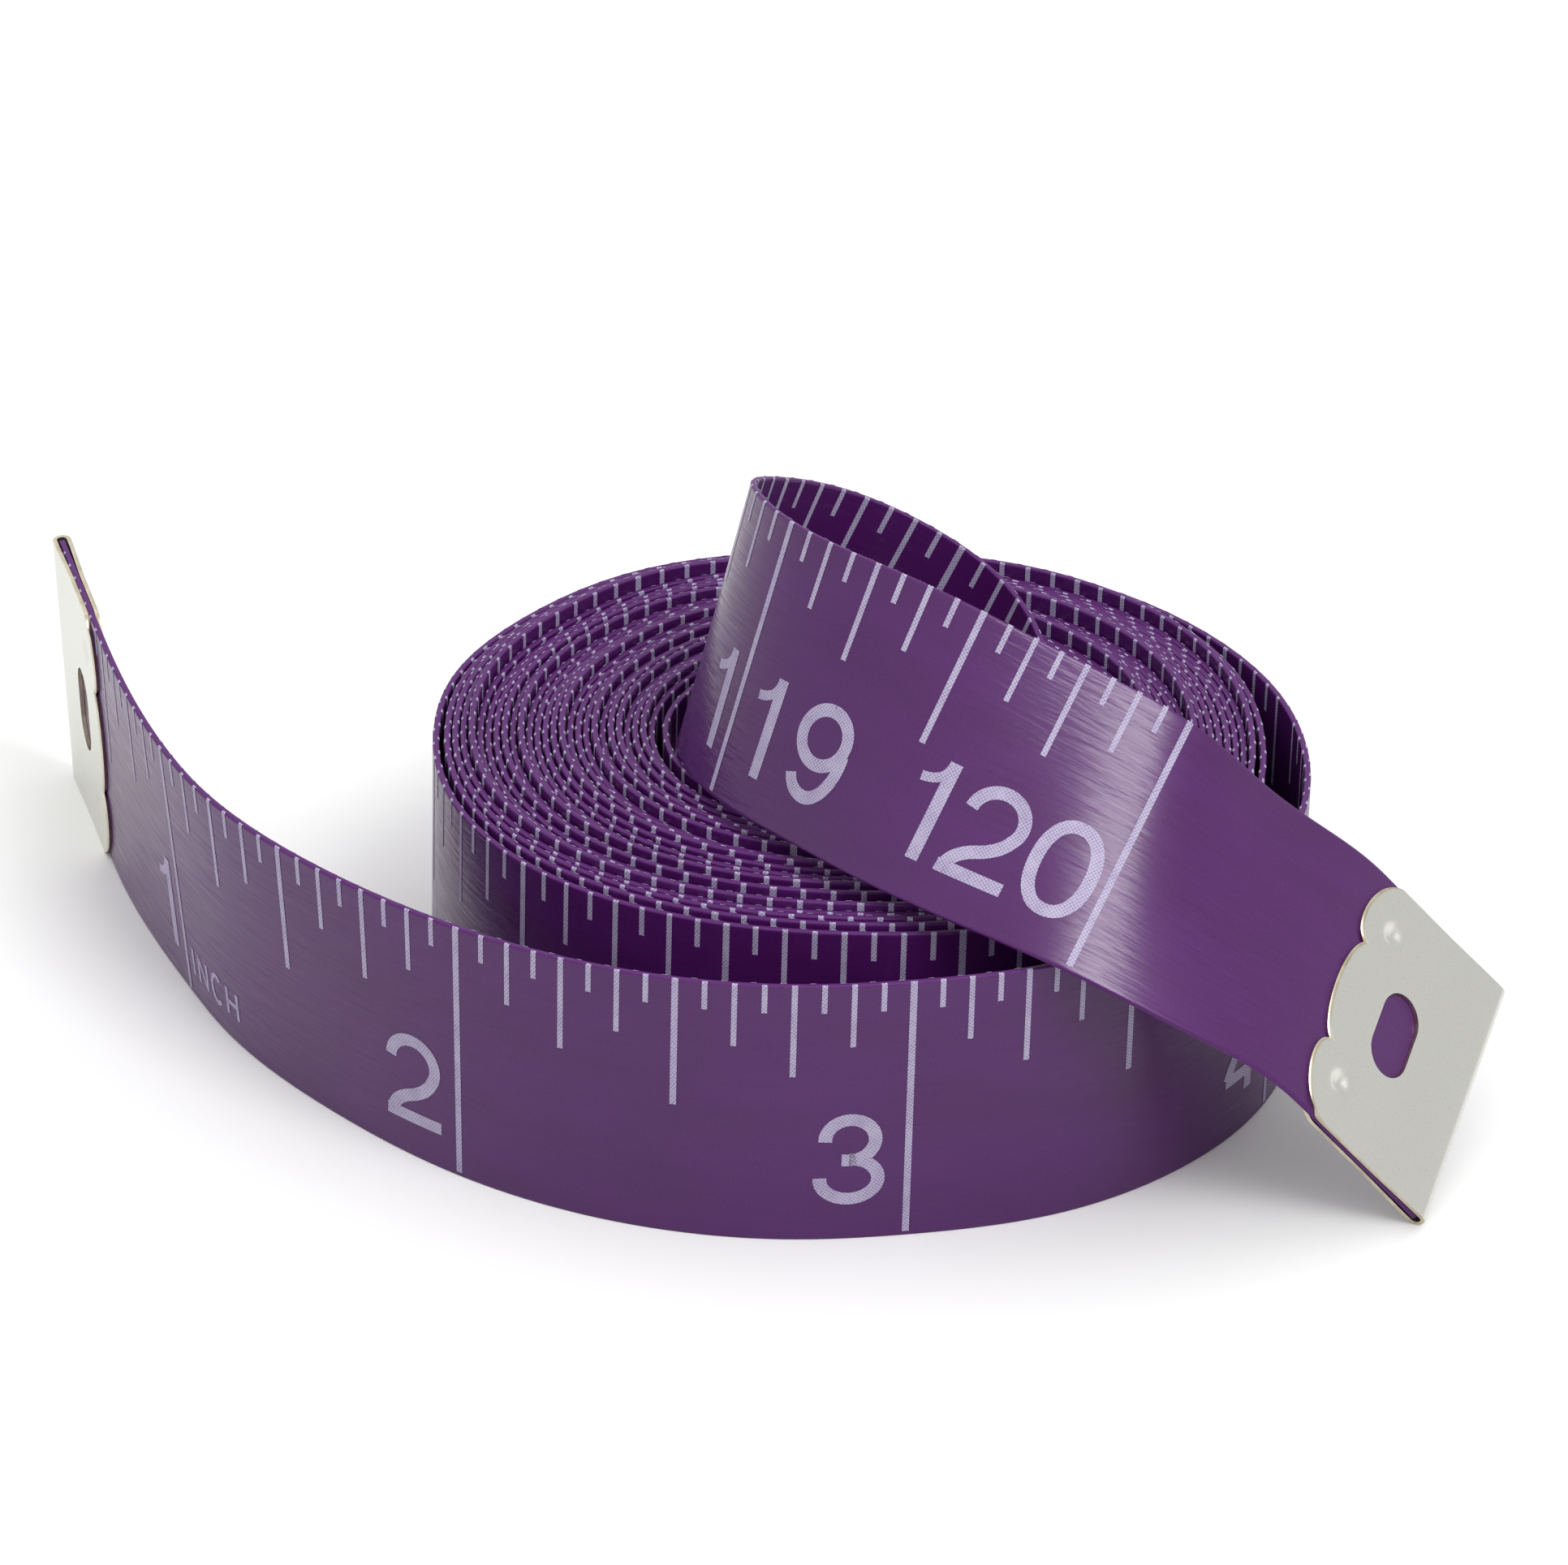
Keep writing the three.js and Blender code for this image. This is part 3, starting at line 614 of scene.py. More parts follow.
def print_piece(surface, name, start, stop, settings):
    """What is printed on a stretch of the tape, on both faces, as a thin film just off them."""
    strips = []
    for side in (1, -1):
        strips += ruled_lines(surface, side, start + LINE_CLEAR, stop - LINE_CLEAR, settings)
        strips += numbers(surface, side, start, stop, settings)
    points, flat, faces = strips_mesh([strip for strip in strips if strip.size])
    ink = material_of(screen_ink, settings.ink_colour)
    return new_piece(name, points, faces.tolist(), ink, uv=flat, smooth=False)


def clip_reach(across, width):
    """The scalloped edge's distance from the fold at places across the clip, from its middle.

    It is a half ellipse on a chord between the notches, and one from each notch down to the clip's side.
    """
    notch, half = width * CLIP_NOTCH_SHARE, width / 2
    away = np.abs(across)
    middle = CLIP_NOTCH_LENGTH + CLIP_MIDDLE_LOBE * np.sqrt(np.clip(1 - (away / notch) ** 2, 0, 1))
    q = np.clip((away - notch) / (half - notch), 0, 1)
    side = CLIP_NOTCH_LENGTH * (1 - q) + CLIP_SIDE_LENGTH * q
    side = side + CLIP_SIDE_LOBE * np.sqrt(np.clip(1 - (2 * q - 1) ** 2, 0, 1))
    return np.where(away < notch, middle, side)


def leaf_columns(width):
    """Places across the clip, closest together at its sides and beside the two notches."""
    half, notch = width / 2, width * CLIP_NOTCH_SHARE
    across = np.cos(np.linspace(np.pi, 0, LOBE_POINTS))
    middle, lobe = (half + notch) / 2, (half - notch) / 2 * across
    return np.concatenate([lobe[:-1] - middle, notch * across[:-1], lobe + middle])


def leaf_height(place, width, settings):
    """How far the middle of a leaf's sheet stands off the tape's middle.

    The leaves close gently from the fold on. Each dimple is a smooth hollow (1 - r2)2 with a cone in it.
    """
    x, beside = place[..., 0] - DIMPLE_DISTANCE, np.abs(place[..., 1]) - DIMPLE_SHARE * width
    closed, opened = settings.leaf_closed / MM, settings.leaf_open / MM
    closing = smooth_step((place[..., 0] - LEAF_CLOSING_START) / LEAF_CLOSING_LENGTH)
    height = opened + (closed - opened) * closing
    hollow = DIMPLE_DEPTH * np.clip(1 - (np.hypot(x, beside) / DIMPLE_RADIUS) ** 2, 0, 1) ** 2
    return height - hollow - PIN_DEPTH * np.clip(1 - np.hypot(x + PIN_SHIFT, beside) / PIN_RADIUS, 0, 1)


def slot_cutter():
    """A prism that cuts the slot through both leaves: half circles joined by straight sides."""
    turn = np.concatenate([np.linspace(0, np.pi, ROUND_POINTS), np.linspace(np.pi, 2 * np.pi, ROUND_POINTS)])
    straight = (CLIP_SLOT_LENGTH - CLIP_SLOT_WIDTH) / 2 * np.repeat([1, -1], ROUND_POINTS)
    x = CLIP_SLOT_DISTANCE + CLIP_SLOT_WIDTH / 2 * np.cos(turn)
    y = straight + CLIP_SLOT_WIDTH / 2 * np.sin(turn)
    points = np.stack(np.broadcast_arrays(x, y, np.array([[-CLIP_SLOT_CUT], [CLIP_SLOT_CUT]])), axis=-1)
    count = len(turn)
    faces = grid_faces(2, count, closed=True).tolist()
    return points, faces + [list(range(count - 1, -1, -1)), list(range(count, 2 * count))]


def clip_sheet_grid(settings):
    """The folded sheet's middle as a grid, from one scalloped edge round the fold to the other, and flat."""
    width, opened = settings.width / MM, settings.leaf_open / MM
    columns = leaf_columns(width)
    x = opened + np.linspace(0, 1, LEAF_POINTS)[:, None] * (clip_reach(columns, width)[None] - opened)
    y = np.broadcast_to(columns, x.shape)
    height = leaf_height(np.stack([x, y], axis=-1), width, settings)
    height[-1] -= RIM_ROLL * smooth_step((width / 2 - np.abs(columns)) / RIM_ROLL_FADE)
    turn = np.linspace(np.pi / 2, 3 * np.pi / 2, FOLD_POINTS)[1:-1, None]
    bent = (opened + opened * np.cos(turn), columns, opened * np.sin(turn))
    fold = np.stack(np.broadcast_arrays(*bent), axis=-1)
    grid = np.concatenate([np.stack([x, y, height], axis=-1)[::-1], fold, np.stack([x, y, -height], axis=-1)])
    along = np.concatenate([-x[::-1], np.broadcast_to(turn * FOLD_SHIFT, fold.shape[:2]), x])
    return grid, np.stack([along, grid[..., 1]], axis=-1)


def clip_piece(name, corner, inward, across, settings):
    """An end clip: the folded sheet with its wall, the slot through both leaves and rounded sheared edges."""
    metal = material_of(nickel_plated_steel, settings.clip_colour)
    edge_metal = material_of(sheared_steel_edge, settings.edge_colour)
    grid, flat = clip_sheet_grid(settings)
    faces = grid_faces(*grid.shape[:2])[:, ::-1]
    piece = new_piece(name, grid, faces.tolist(), metal, uv=flat)
    piece.data.materials.append(edge_metal)
    # The rolled rims, one row of faces at each end of the sheet, are as bright as the sheared edge.
    rolled = np.zeros((grid.shape[0] - 1, grid.shape[1] - 1), np.int32)
    rolled[[0, -1]] = 1
    piece.data.polygons.foreach_set("material_index", rolled.ravel())
    turn_outward(piece)
    cutter = new_piece(name + "_slot_cutter", *slot_cutter(), edge_metal, smooth=False)
    turn_outward(cutter)
    modify(piece, "SOLIDIFY", thickness=settings.clip_sheet, offset=0, material_offset_rim=1)
    modify(piece, "BOOLEAN", object=cutter, operation="DIFFERENCE", solver="EXACT", material_mode="TRANSFER")
    modify(
        piece, "BEVEL", width=settings.clip_edge, segments=3, material=1, limit_method="ANGLE",
        angle_limit=math.radians(ROUNDED_FROM_DEGREES),
    )
    bpy.context.view_layer.update()
    finished = bpy.data.meshes.new_from_object(piece.evaluated_get(bpy.context.evaluated_depsgraph_get()))
    piece.modifiers.clear()
    piece.data = finished
    bpy.data.objects.remove(cutter)
    place = np.eye(4)
    place[:3, :3] = np.column_stack([inward, across, np.cross(inward, across)])
    place[:3, 3] = (corner + across * settings.width / MM / 2) * MM
    finished.transform(Matrix(place.tolist()))
    return piece


def modify(piece, kind, **values):
    """Adds one modifier with its values."""
    modifier = piece.modifiers.new(kind, kind)
    for key, value in values.items():
        setattr(modifier, key, value)


def turn_outward(piece):
    """Turns a mesh's faces to agree with each other and outwards."""
    sheet = bmesh.new()
    sheet.from_mesh(piece.data)
    bmesh.ops.recalc_face_normals(sheet, faces=sheet.faces)
    sheet.to_mesh(piece.data)
    sheet.free()


def new_material(name):
    """An empty node material and its tree."""
    material = bpy.data.materials.new(name)
    material.use_nodes = True
    material.node_tree.nodes.clear()
    return material, material.node_tree


def add_node(tree, kind, settings=None, **links):
    """Adds one node, sets its properties and sockets, and links the sockets that are given another's output.

    Spaces in a socket's name are underscores, and i with a number is a socket by its place.
    """
    node = tree.nodes.new("ShaderNode" + kind)
    for key, value in (settings or {}).items():
        setattr(node, key, value)
    for key, value in links.items():
        by_place = key[0] == "i" and key[1:].isdigit()
        socket = node.inputs[int(key[1:]) if by_place else key.replace("_", " ")]
        if isinstance(value, bpy.types.NodeSocket):
            tree.links.new(value, socket)
        else:
            socket.default_value = value
    return node


def calendered_vinyl(colour):
    """Plasticised vinyl calendered onto glass-fibre cloth: a satin skin, drawn out along the tape.

    The eye gets an even colour and a broad soft highlight, broken into fine lengthwise streaks by the fibres.
    """
    material, tree = new_material("calendered_vinyl")
    place = add_node(tree, "UVMap", {"uv_map": "tape_millimetres"}).outputs["UV"]
    # Swells 0.5 mm across the tape and about 12 mm long, and fibres 0.17 mm across and 4 mm long.
    drawn = add_node(tree, "Mapping", Vector=place, Scale=(0.08, 2.0, 1.0)).outputs["Vector"]
    swells = add_node(tree, "TexNoise", Vector=drawn, Scale=1.0, Detail=1.0, Roughness=0.4).outputs["Fac"]
    fibres = add_node(tree, "TexNoise", Vector=drawn, Scale=3.0, Detail=1.5, Roughness=0.55).outputs["Fac"]
    # The cloth's threads, 0.5 mm apart, seen as a very faint unevenness.
    threads = add_node(tree, "Mapping", Vector=place, Scale=(2.0, 2.0, 1.0)).outputs["Vector"]
    cloth = add_node(tree, "TexNoise", Vector=threads, Scale=1.0, Detail=2.0, Roughness=0.5).outputs["Fac"]
    # Wear in patches 8 mm long and 3 mm wide, and a fine grain of 0.12 mm that is a little stronger.
    mottled = add_node(tree, "Mapping", Vector=place, Scale=(0.12, 0.35, 1.0)).outputs["Vector"]
    wear = add_node(tree, "TexNoise", Vector=mottled, Scale=1.0, Detail=3.0, Roughness=0.55).outputs["Fac"]
    grain = add_node(tree, "TexNoise", Vector=place, Scale=8.0, Detail=1.0, Roughness=0.5).outputs["Fac"]
    flecks = add_node(tree, "Math", {"operation": "MULTIPLY_ADD"}, i0=grain, i1=1.2, i2=wear).outputs["Value"]
    share = add_node(tree, "MapRange", Value=flecks, From_Min=0.7, From_Max=1.5).outputs["Result"]
    tone = add_node(tree, "Mix", {"data_type": "RGBA"}, i0=share, i6=colour, i7=linear("#521867")).outputs[2]
    roughness = add_node(
        tree, "MapRange", Value=fibres, From_Min=0.32, From_Max=0.75, To_Min=0.28, To_Max=0.52
    ).outputs["Result"]
    height = add_node(tree, "Math", {"operation": "MULTIPLY_ADD"}, i0=cloth, i1=0.25, i2=swells)
    bump = add_node(tree, "Bump", Height=height.outputs["Value"], Strength=0.2, Distance=0.00003)
    # The clear skin on top is ribbed by the fibres, 0.3 mm across the tape and 3 mm long.
    ribbed = add_node(tree, "Mapping", Vector=place, Scale=(0.35, 3.2, 1.0)).outputs["Vector"]
    ribs = add_node(tree, "TexNoise", Vector=ribbed, Scale=1.0, Detail=2.0, Roughness=0.55).outputs["Fac"]
    rib_bump = add_node(tree, "Bump", Height=ribs, Strength=0.9, Distance=0.00006).outputs["Normal"]
    skin = add_node(
        tree, "BsdfPrincipled", Base_Color=tone, Roughness=roughness, Normal=bump.outputs["Normal"],
        Specular_IOR_Level=0.28, Coat_Weight=0.35, Coat_Roughness=0.14, Coat_Normal=rib_bump,
    )
    add_node(tree, "OutputMaterial", Surface=skin.outputs["BSDF"])
    return material


def slit_vinyl_edge(colour):
    """The slit edge of the vinyl, a third of a millimetre wide: the same stuff, matt and a little rough."""
    material, tree = new_material("slit_vinyl_edge")
    place = add_node(tree, "UVMap", {"uv_map": "tape_millimetres"}).outputs["UV"]
    # The knife's fine notches, about 0.3 mm long.
    notches = add_node(tree, "TexNoise", Vector=place, Scale=3.3, Detail=3.0, Roughness=0.6).outputs["Fac"]
    tone = add_node(tree, "Mix", {"data_type": "RGBA"}, i0=notches, i6=linear("#4A145A"), i7=colour)
    cut = add_node(
        tree, "BsdfPrincipled", Base_Color=tone.outputs[2], Roughness=0.5, Specular_IOR_Level=0.25
    )
    add_node(tree, "OutputMaterial", Surface=cut.outputs["BSDF"])
    return material


def screen_ink(colour):
    """Pale screen-printing ink on vinyl: matt and thin, in dots on the slanted grid of the screen's mesh."""
    material, tree = new_material("screen_ink")
    place = add_node(tree, "UVMap", {"uv_map": "tape_millimetres"}).outputs["UV"]
    # The mesh's pitch is 0.16 mm, and the ink is worn in patches of about 1.5 mm.
    mesh = add_node(tree, "Mapping", Vector=place, Scale=(6.3, 6.3, 1.0), Rotation=(0, 0, 0.6))
    dots = add_node(
        tree, "TexVoronoi", {"voronoi_dimensions": "2D"}, Vector=mesh.outputs["Vector"],
        Scale=1.0, Randomness=0.12,
    )
    worn = add_node(tree, "TexNoise", Vector=place, Scale=0.7, Detail=4.0, Roughness=0.6).outputs["Fac"]
    both = add_node(
        tree, "Math", {"operation": "MULTIPLY_ADD"}, i0=worn, i1=0.5, i2=dots.outputs["Distance"]
    ).outputs["Value"]
    bare = add_node(tree, "MapRange", Value=both, From_Min=0.45, From_Max=0.95).outputs["Result"]
    tone = add_node(tree, "Mix", {"data_type": "RGBA"}, i0=bare, i6=colour, i7=linear("#86709F")).outputs[2]
    film = add_node(tree, "BsdfPrincipled", Base_Color=tone, Roughness=0.5, Specular_IOR_Level=0.3)
    add_node(tree, "OutputMaterial", Surface=film.outputs["BSDF"])
    return material


def nickel_plated_steel(colour):
    """Pressed sheet steel, dull nickel plated: a satin metal with faint rolling lines and tiny pits."""
    material, tree = new_material("nickel_plated_steel")
    place = add_node(tree, "UVMap", {"uv_map": "tape_millimetres"}).outputs["UV"]
    # Rolling lines 0.15 mm apart and 2 mm long, and pits of about 0.1 mm.
    rolled = add_node(tree, "Mapping", Vector=place, Scale=(0.5, 7.0, 1.0)).outputs["Vector"]
    lines = add_node(tree, "TexNoise", Vector=rolled, Scale=1.0, Detail=3.0, Roughness=0.6).outputs["Fac"]
    pits = add_node(tree, "TexNoise", Vector=place, Scale=9.0, Detail=3.0, Roughness=0.7).outputs["Fac"]
    tone = add_node(tree, "Mix", {"data_type": "RGBA"}, i0=pits, i6=linear("#CFCFC8"), i7=colour).outputs[2]
    roughness = add_node(
        tree, "MapRange", Value=pits, From_Min=0.3, From_Max=0.7, To_Min=0.26, To_Max=0.36
    ).outputs["Result"]
    bump = add_node(tree, "Bump", Height=lines, Strength=0.15, Distance=0.00002).outputs["Normal"]
    metal = add_node(tree, "BsdfPrincipled", Base_Color=tone, Metallic=1.0, Roughness=roughness, Normal=bump)
    add_node(tree, "OutputMaterial", Surface=metal.outputs["BSDF"])
    return material


def sheared_steel_edge(colour):
    """The sheared and tumbled edge of the plated sheet: smoother than its faces, yellowish and bright."""
    material, tree = new_material("sheared_steel_edge")
    place = add_node(tree, "TexCoord").outputs["Object"]
    # Worn and tarnished stretches about 1.5 mm long, in the object's own metres.
    worn = add_node(tree, "TexNoise", Vector=place, Scale=700.0, Detail=3.0, Roughness=0.6).outputs["Fac"]
    tone = add_node(tree, "Mix", {"data_type": "RGBA"}, i0=worn, i6=linear("#90866F"), i7=colour).outputs[2]
    roughness = add_node(tree, "MapRange", Value=worn, To_Min=0.32, To_Max=0.18).outputs["Result"]
    metal = add_node(tree, "BsdfPrincipled", Base_Color=tone, Metallic=1.0, Roughness=roughness)
    add_node(tree, "OutputMaterial", Surface=metal.outputs["BSDF"])
    return material


def length(name, description, default, **limits):
    """A length in metres as a property."""
    return FloatProperty(
        name=name, description=description, default=default, unit="LENGTH", precision=6, **limits
    )


def tint(name, description, hex_colour):
    """A colour as a property."""
    return FloatVectorProperty(
        name=name, description=description, default=linear(hex_colour)[:3], size=3, min=0, max=1,
        subtype="COLOR",
    )


def amount(name, description, default):
    """A plain number as a property."""
    return FloatProperty(name=name, description=description, default=default)


class TapeSettings(PropertyGroup):
    """Sizes and colours of the tape, its print and its clips."""

    width: length("Tape width", "Width of the tape", 0.015875, min=0.005)
    thickness: length("Tape thickness", "Thickness of the vinyl tape", 0.00036, min=0.0001)
    station_step: length("Section spacing", "Distance between the tape's sections", 0.00078, min=0.0002)
    vinyl_colour: tint("Vinyl colour", "Colour of the tape's faces", "#471054")
    edge_vinyl_colour: tint("Slit edge colour", "Colour of the tape's slit edges", "#612A74")
    numeral_height: length("Numeral height", "Height of the printed numerals", 0.0057)
    numeral_width: length("Numeral width", "Width of one printed numeral", 0.0039)
    numeral_gap: length("Numeral gap", "Distance between two numerals of a number", 0.0005)
    numeral_stroke: length("Numeral stroke", "Thickness of the numerals' strokes", 0.00074)
    numeral_base: length("Numeral base", "Height of the numerals' feet above the lower edge", 0.0022)
    numeral_clearance: length("Numeral clearance", "Distance from an inch line to the next numeral", 0.0012)
    ink_film: length("Ink film", "How far the print stands off the vinyl", 0.00002)
    ink_colour: tint("Ink colour", "Colour of the printed lines and numerals", "#C3BDD6")
    clip_sheet: length("Clip sheet", "Thickness of the clips' sheet metal", 0.00024)
    leaf_open: length("Leaf at the fold", "From the tape's middle to a leaf's middle at the fold", 0.00041)
    leaf_closed: length("Leaf at the edge", "From the tape's middle to a leaf's middle at the lobes", 0.00031)
    clip_edge: length("Clip edge", "Width of the rounding on the clips' sheared edges", 0.0001)
    clip_colour: tint("Clip colour", "Colour of the clips' plating", "#DEDED7")
    edge_colour: tint("Clip edge colour", "Colour of the clips' sheared edges", "#F0E7D0")


class StageSettings(PropertyGroup):
    """Floor and light."""

    floor_size: length("Floor size", "Side of the floor's square", 6.0)
    key_power: amount("Key light", "Power of the lamp over the front right", 2.9)
    fill_power: amount("Fill light", "Power of the broad lamp at the back left", 0.8)
    horizon: amount("Horizon", "Strength of the surrounding light at the horizon", 0.3)
    zenith: amount("Zenith", "Strength of the surrounding light overhead", 1.18)
    soft_box: amount("Soft box", "Strength of the soft box that shows as a sheen", 5.5)
    grey_card: amount("Grey card", "How much the grey card takes from what is reflected", 0.25)


def material_of(maker, colour):
    """The material a maker function gives, made once."""
    return bpy.data.materials.get(maker.__name__) or maker((*colour, 1.0))


def dress(piece, slot, *nodes):
    """Hides the CAD nodes that a piece stands for. The piece and its record slot are not used."""
    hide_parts(*nodes)


def joint_place(name):
    """A joint's place and axis in metres."""
    joint = next(joint for joint in frame["joints"] if joint["name"] == name)
    return np.array(joint["pos_m"], float), np.array(joint["axis"], float)


def bend_lead(piece):
    """Applies the lead's transform to its mesh."""
    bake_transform(piece)


def bend_tail(piece):
    """Reads the tail's joint, works out the direction square to its axis, and applies the tail's transform to
    its mesh.
    """
    place, axis = joint_place("tail_swing")
    ahead = np.array([0, -1, 0]) - axis * (np.array([0, -1, 0]) @ axis)
    ahead /= np.linalg.norm(ahead)
    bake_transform(piece)


class TAPE_OT_coil(Operator):
    """Makes the coil with its loops slid to different heights, and the riser, and their print"""

    bl_idname = "tape.make_coil"
    bl_label = "Make the coil"

    def execute(self, context):
        settings = context.scene.tape_settings
        surface = tape_surface(settings)
        start, climb, stop = surface.seam_lead, surface.seam_riser, surface.seam_tail
        coil = tape_piece(surface, "coiled_tape", start, climb, COIL_ROWS, settings)
        riser = tape_piece(surface, "riser_tape", climb, stop, FINE_ROWS, settings)
        marks = print_piece(surface, "coiled_tape_print", start, climb, settings)
        riser_marks = print_piece(surface, "riser_tape_print", climb, stop, settings)
        dress(coil, "tape_vinyl", "tape_coil")
        dress(riser, "tape_vinyl", "tape_riser")
        for piece in (coil, riser, marks, riser_marks):
            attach(piece, "coil")
        return {"FINISHED"}


class TAPE_OT_lead(Operator):
    """Makes the outer end of the tape and its print"""

    bl_idname = "tape.make_lead"
    bl_label = "Make the lead"

    def execute(self, context):
        settings = context.scene.tape_settings
        surface = tape_surface(settings)
        start, stop = TAPE_END_GAP, surface.seam_lead
        lead = tape_piece(surface, "lead_tape", start, stop, FINE_ROWS, settings)
        marks = print_piece(surface, "lead_tape_print", start, stop, settings)
        dress(lead, "tape_vinyl", "tape_lead", "tape_lead_end")
        bend_lead(lead)
        bend_lead(marks)
        return {"FINISHED"}


class TAPE_OT_tail(Operator):
    """Makes the inner end of the tape, which turns back over the coil, and its print"""

    bl_idname = "tape.make_tail"
    bl_label = "Make the tail"

    def execute(self, context):
        settings = context.scene.tape_settings
        surface = tape_surface(settings)
        start, stop = surface.seam_tail, surface.length - TAPE_END_GAP
        tail = tape_piece(surface, "tail_tape", start, stop, FINE_ROWS, settings)
        marks = print_piece(surface, "tail_tape_print", start, stop, settings)
        dress(tail, "tape_vinyl", "tape_tail")
        bend_tail(tail)
        bend_tail(marks)
        return {"FINISHED"}


class TAPE_OT_clips(Operator):
    """Makes the two folded end clips"""

    bl_idname = "tape.make_clips"
    bl_label = "Make the end clips"

    def execute(self, context):
        settings = context.scene.tape_settings
        surface = tape_surface(settings)
        for name, node, body, at, ahead in (
            ("zero_clip", "zero_end_clip", "lead", 0.0, CLIP_AIM),
            ("far_clip", "far_end_clip", "tail", surface.length, surface.length - CLIP_AIM),
        ):
            runs, heights = np.array([at, at, ahead]), np.array([0, surface.width, 0])
            corner, top, inner = surface.point(runs, heights, 0.0)
            across = (top - corner) / np.linalg.norm(top - corner)
            inward = inner - corner
            inward -= across * (inward @ across)
            inward /= np.linalg.norm(inward)
            clip = clip_piece(name, corner, inward, across, settings)
            dress(clip, "clip_steel", node)
            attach(clip, body)
        return {"FINISHED"}


def area_light(name, power, size, place, target):
    """A square lamp of a size in metres at a place, turned to a target."""
    data = bpy.data.lights.new(name, "AREA")
    data.energy, data.size = power, size
    lamp = bpy.data.objects.new(name, data)
    bpy.context.scene.collection.objects.link(lamp)
    lamp.location, lamp.rotation_mode = place, "QUATERNION"
    lamp.rotation_quaternion = (Vector(target) - Vector(place)).to_track_quat("-Z", "Y")


def seen_white(tree):
    """1 for what the camera sees straight, in a mirror or through glass."""
    path = add_node(tree, "LightPath").outputs
    straight = add_node(
        tree, "Math", {"operation": "MAXIMUM"}, i0=path["Is Camera Ray"], i1=path["Is Glossy Ray"]
    )
    return add_node(
        tree, "Math", {"operation": "MAXIMUM"}, i0=straight.outputs["Value"], i1=path["Is Transmission Ray"]
    ).outputs["Value"]


def patch(tree, toward, middle, rim, full, strength):
    """A round patch of the surround, whose strength grows smoothly from its rim to where it is full."""
    facing = add_node(tree, "VectorMath", {"operation": "DOT_PRODUCT"}, i0=toward, i1=middle)
    return add_node(
        tree, "MapRange", {"interpolation_type": "SMOOTHSTEP"}, Value=facing.outputs["Value"],
        From_Min=math.cos(math.radians(rim)), From_Max=math.cos(math.radians(full)), To_Max=strength,
    ).outputs["Result"]


def make_camera(scene):
    """The camera at the photograph's view."""
    forward = np.array([0, math.cos(CAMERA_ELEVATION), -math.sin(CAMERA_ELEVATION)])
    level = np.array([1.0, 0, 0])
    upward = np.cross(level, forward)
    data = bpy.data.cameras.new("photo_camera")
    data.sensor_width, data.lens = SENSOR_WIDTH, FOCAL_PIXELS / PHOTO_WIDTH * SENSOR_WIDTH
    data.clip_start, data.clip_end = CAMERA_NEAR, CAMERA_FAR
    camera = bpy.data.objects.new("photo_camera", data)
    scene.collection.objects.link(camera)
    turned = np.eye(4)
    turned[:3, 0] = math.cos(CAMERA_ROLL) * level + math.sin(CAMERA_ROLL) * upward
    turned[:3, 1] = math.cos(CAMERA_ROLL) * upward - math.sin(CAMERA_ROLL) * level
    turned[:3, 2] = -forward
    turned[:3, 3] = (CAMERA_TARGET - forward * CAMERA_DISTANCE) * MM
    camera.matrix_world = Matrix(turned.tolist())
    scene.camera = camera


def make_floor(settings):
    """White paper: the camera sees it as white, which keeps the shadows, and the object as a greyer one."""
    paper, tree = new_material("white_paper_sweep")
    seen = seen_white(tree)
    tone = add_node(tree, "Mix", {"data_type": "RGBA"}, i0=seen, i6=PAPER_LIT, i7=PAPER_SEEN).outputs[2]
    sheet = add_node(tree, "BsdfDiffuse", Color=tone)
    add_node(tree, "OutputMaterial", Surface=sheet.outputs["BSDF"])
    corners = settings.floor_size / 2 / MM * np.array([[-1, -1, 0], [1, -1, 0], [1, 1, 0], [-1, 1, 0]])
    floor = new_piece("floor", corners, [[0, 1, 2, 3]], paper, smooth=False)


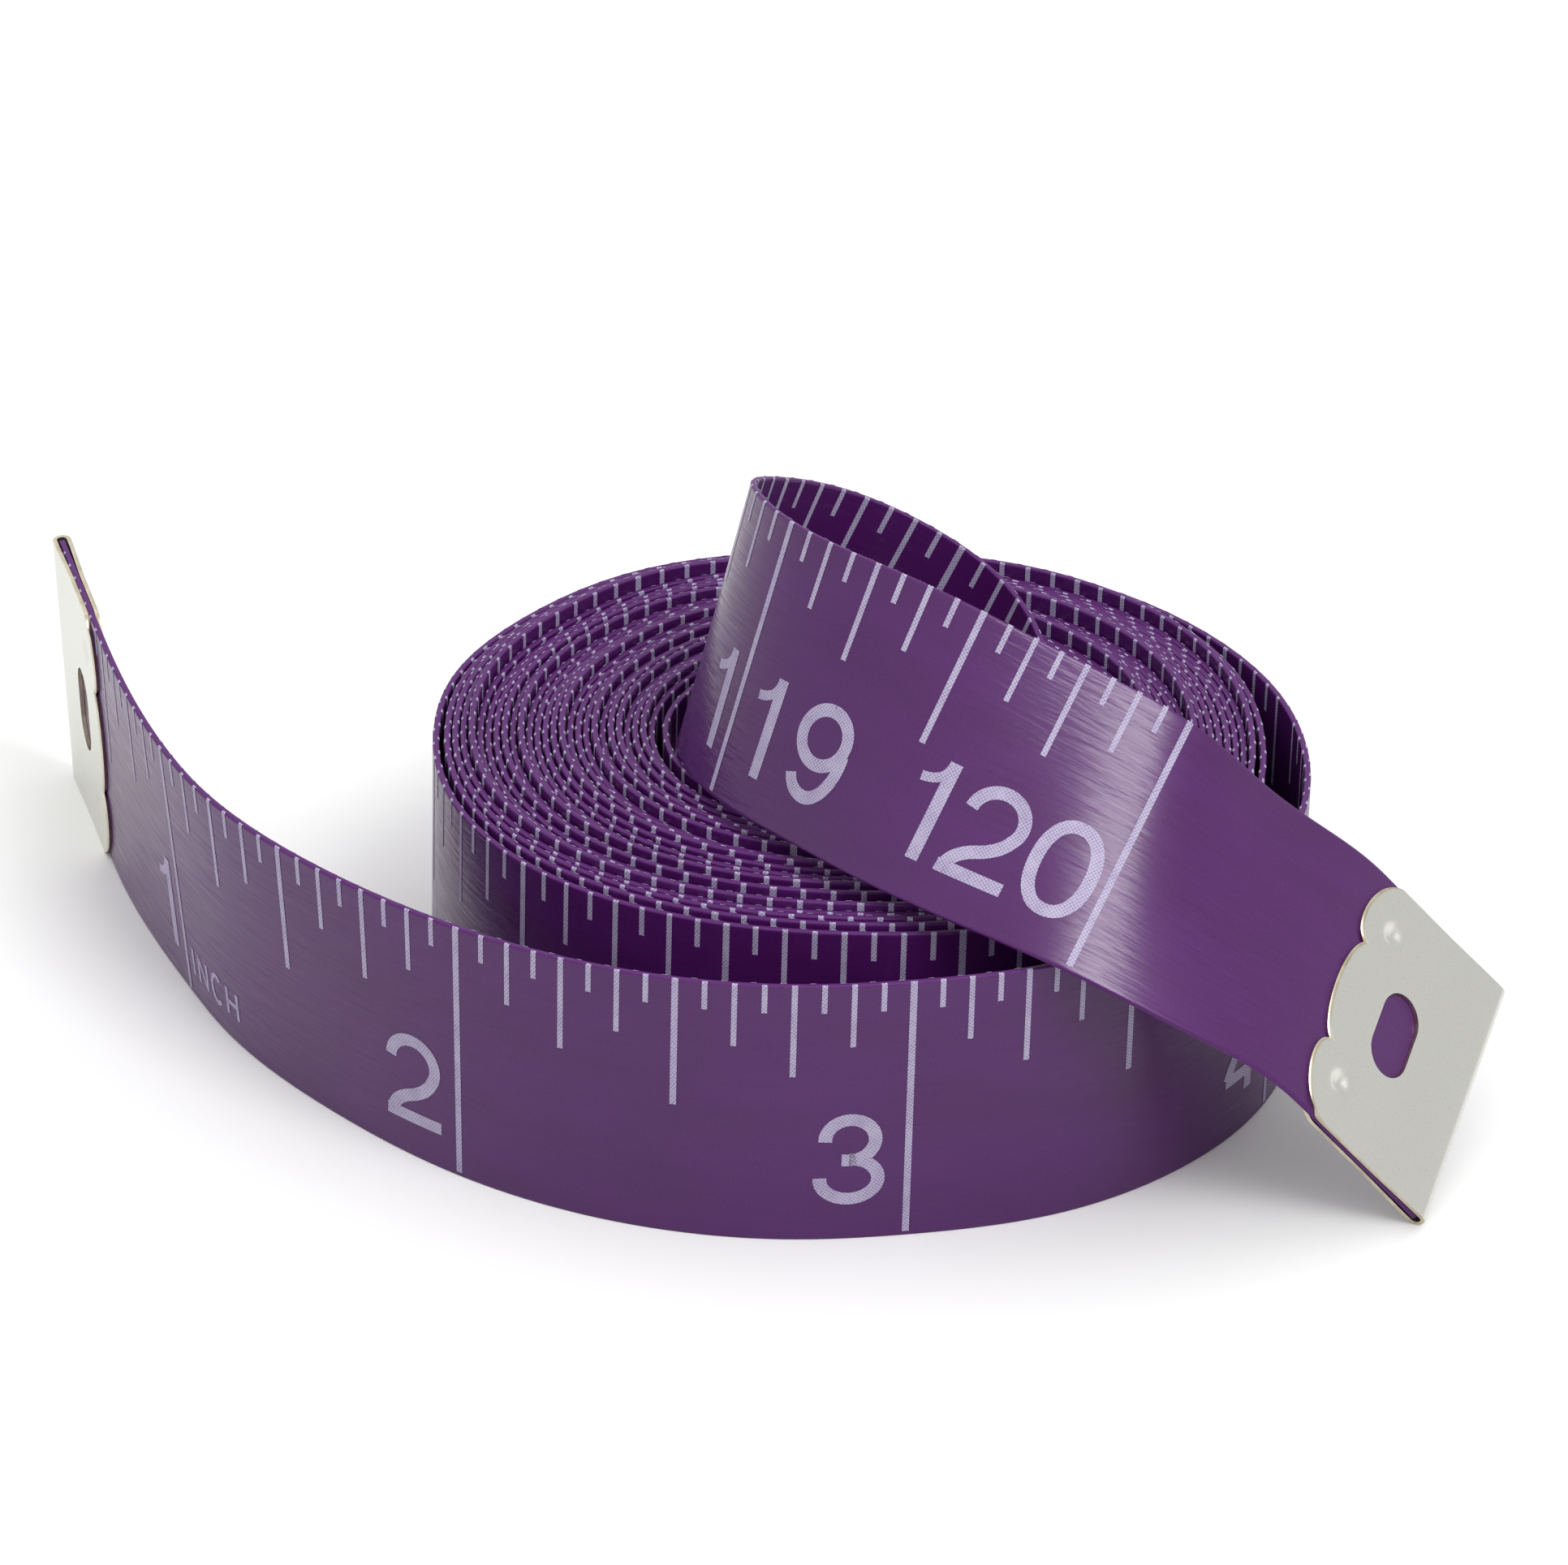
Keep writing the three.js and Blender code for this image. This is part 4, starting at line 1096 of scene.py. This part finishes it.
def make_surround(scene, settings):
    """The light from all round, which grows from the horizon to the zenith. What is seen of it is white."""
    world = bpy.data.worlds.new("studio_surround")
    world.use_nodes = True
    tree = world.node_tree
    tree.nodes.clear()
    toward = add_node(tree, "TexCoord").outputs["Generated"]
    height = add_node(tree, "SeparateXYZ", Vector=toward).outputs["Z"]
    dome = add_node(tree, "MapRange", Value=height, To_Min=settings.horizon, To_Max=settings.zenith)
    strength = add_node(
        tree, "MapRange", Value=seen_white(tree), To_Min=dome.outputs["Result"], To_Max=1.0
    ).outputs["Result"]
    # A soft box over the front right, and a grey card low on the right, which keeps metal and vinyl there
    # from going pale. Both show only in what is glossy.
    box = patch(tree, toward, *SOFT_BOX, settings.soft_box)
    card = patch(tree, toward, *GREY_CARD, settings.grey_card)
    glossy = add_node(tree, "LightPath").outputs["Is Glossy Ray"]
    shown = add_node(tree, "Math", {"operation": "SUBTRACT"}, i0=box, i1=card).outputs["Value"]
    lit = add_node(tree, "Math", {"operation": "MULTIPLY_ADD"}, i0=shown, i1=glossy, i2=strength)
    glow = add_node(tree, "Background", Color=(1, 1, 1, 1), Strength=lit.outputs["Value"])
    add_node(tree, "OutputWorld", Surface=glow.outputs["Background"])
    scene.world = world


class TAPE_OT_stage(Operator):
    """Makes the camera at the photograph's view, the pale floor and the soft light"""

    bl_idname = "tape.make_stage"
    bl_label = "Make the stage"

    def execute(self, context):
        scene = context.scene
        settings = scene.tape_stage
        make_camera(scene)
        make_floor(settings)
        area_light("key_light", settings.key_power, *KEY_LAMP)
        area_light("fill_light", settings.fill_power, *FILL_LAMP)
        make_surround(scene, settings)
        scene.view_settings.view_transform = "Standard"
        return {"FINISHED"}


class TAPE_PT_panel(Panel):
    """Shows the buttons that make the pieces of the tape measure, and their settings"""

    bl_idname = "TAPE_PT_panel"
    bl_label = "Tape Measure"
    bl_space_type = "VIEW_3D"
    bl_region_type = "UI"
    bl_category = "Tape Measure"

    def draw(self, context):
        layout = self.layout
        for operator in OPERATORS:
            layout.operator(operator.bl_idname)
        for group in (context.scene.tape_settings, context.scene.tape_stage):
            box = layout.box()
            for name in group.__annotations__:
                box.prop(group, name)


OPERATORS = (TAPE_OT_stage, TAPE_OT_coil, TAPE_OT_lead, TAPE_OT_tail, TAPE_OT_clips)
CLASSES = (TapeSettings, StageSettings, *OPERATORS, TAPE_PT_panel)


def register():
    for cls in CLASSES:
        bpy.utils.register_class(cls)
    bpy.types.Scene.tape_settings = PointerProperty(type=TapeSettings)
    bpy.types.Scene.tape_stage = PointerProperty(type=StageSettings)


def unregister():
    del bpy.types.Scene.tape_stage
    del bpy.types.Scene.tape_settings
    for cls in reversed(CLASSES):
        bpy.utils.unregister_class(cls)


def main():
    register()
    for operator in OPERATORS:
        getattr(bpy.ops.tape, operator.bl_idname.split(".")[1])()


if __name__ == "__main__":
    main()
